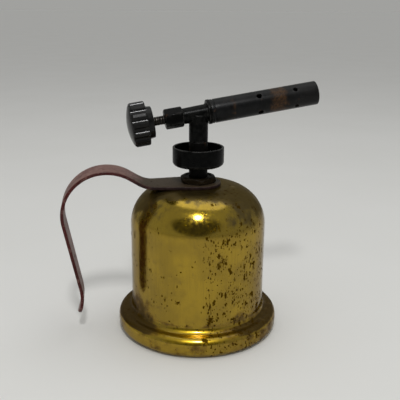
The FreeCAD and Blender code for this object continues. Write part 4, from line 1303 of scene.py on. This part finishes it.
knob_bm = shaped_by(
    loose_object("plain_knob", turned_bmesh(knob_points, turns=336)), flute_tree, Hollows=14, Cutter=2.0 * MM,
    Centre=13.0 * MM, Clocking=math.radians(5.86), Ease=0.3 * MM, Front=-45 * MM, Back=KNOB_BACK + 0.2 * MM,
    Finish=plastic)
scuffs = []
for vertex in knob_bm.verts:
    sunk = (KNOB_RADIUS - math.hypot(vertex.co.x, vertex.co.y)) / MM
    scuffs.append(1 - smooth(0.05, 0.35, sunk))
knob = new_piece("valve_knob", leaned(knob_bm))
mark(knob, "scuffed", scuffs)
finished(knob, plastic, "spindle", "knob")

# %% [markdown]
# The pieces that sit inside or underneath keep their CAD shapes, which are already right, and only get
# finishes. The base, the filler and the jet are plain brass, the spud is as rusty as the nut round it,
# the gasket is oiled leather, and wick and packing are cotton cord. The cord's lay is a slanted wave, so
# one finish serves both.

# %% Finishes for the inner pieces
plain_brass = brass_finish("plain_brass", (0.34, 0.225, 0.05), (0.24, 0.16, 0.038),
                           pit_amount=0.3, polish=0.26, lacquer=0.0)

leather, shader, place = new_finish("oiled_leather")
grain = grained(place, broad=0.003, fine=0.0005)
tone = blended(ramp(grain["Broad"], 0.3, 0.7), (0.10, 0.048, 0.018), (0.045, 0.022, 0.010))
fill(shader, {"Base Color": tone, "Roughness": ramp(grain["Fine"], 0.3, 0.7, 0.5, 0.75),
              "Normal": bumped(grain["Fine"], strength=0.5, depth=0.0002)})

cotton, shader, place = new_finish("cotton_cord")
grain = grained(place, broad=0.004, fine=0.0004)
lay = add(place.id_data, "ShaderNodeTexWave",
          {"Vector": place, "Scale": 260.0, "Distortion": 1.2, "Detail": 1.0},
          bands_direction="DIAGONAL").outputs["Fac"]
tone = blended(ramp(lay, 0.1, 0.7), (0.17, 0.135, 0.085), (0.44, 0.38, 0.27))
tone = blended(ramp(grain["Broad"], 0.45, 0.7, 0.0, 0.5), tone, (0.10, 0.08, 0.055))
fill(shader, {"Base Color": tone, "Roughness": ramp(grain["Fine"], 0.3, 0.7, 0.75, 0.95),
              "Normal": bumped(lay, strength=0.6, depth=0.0003)})

INNER_FINISHES = [
    (plain_brass, ("tank_bottom", "filler_bush", "filler_plug", "wick_tube", "jet", "packing_washer",
                   "knob_insert")),
    (rusty_finish, ("tank_spud",)),
    (steel, ("valve_needle",)),
    (leather, ("filler_gasket",)),
    (cotton, ("wick", "packing_rings")),
]
for finish, nodes in INNER_FINISHES:
    for node in nodes:
        for holder in bpy.data.objects[node].material_slots:
            holder.material = finish
    print(finish.name, "on", ", ".join(nodes))
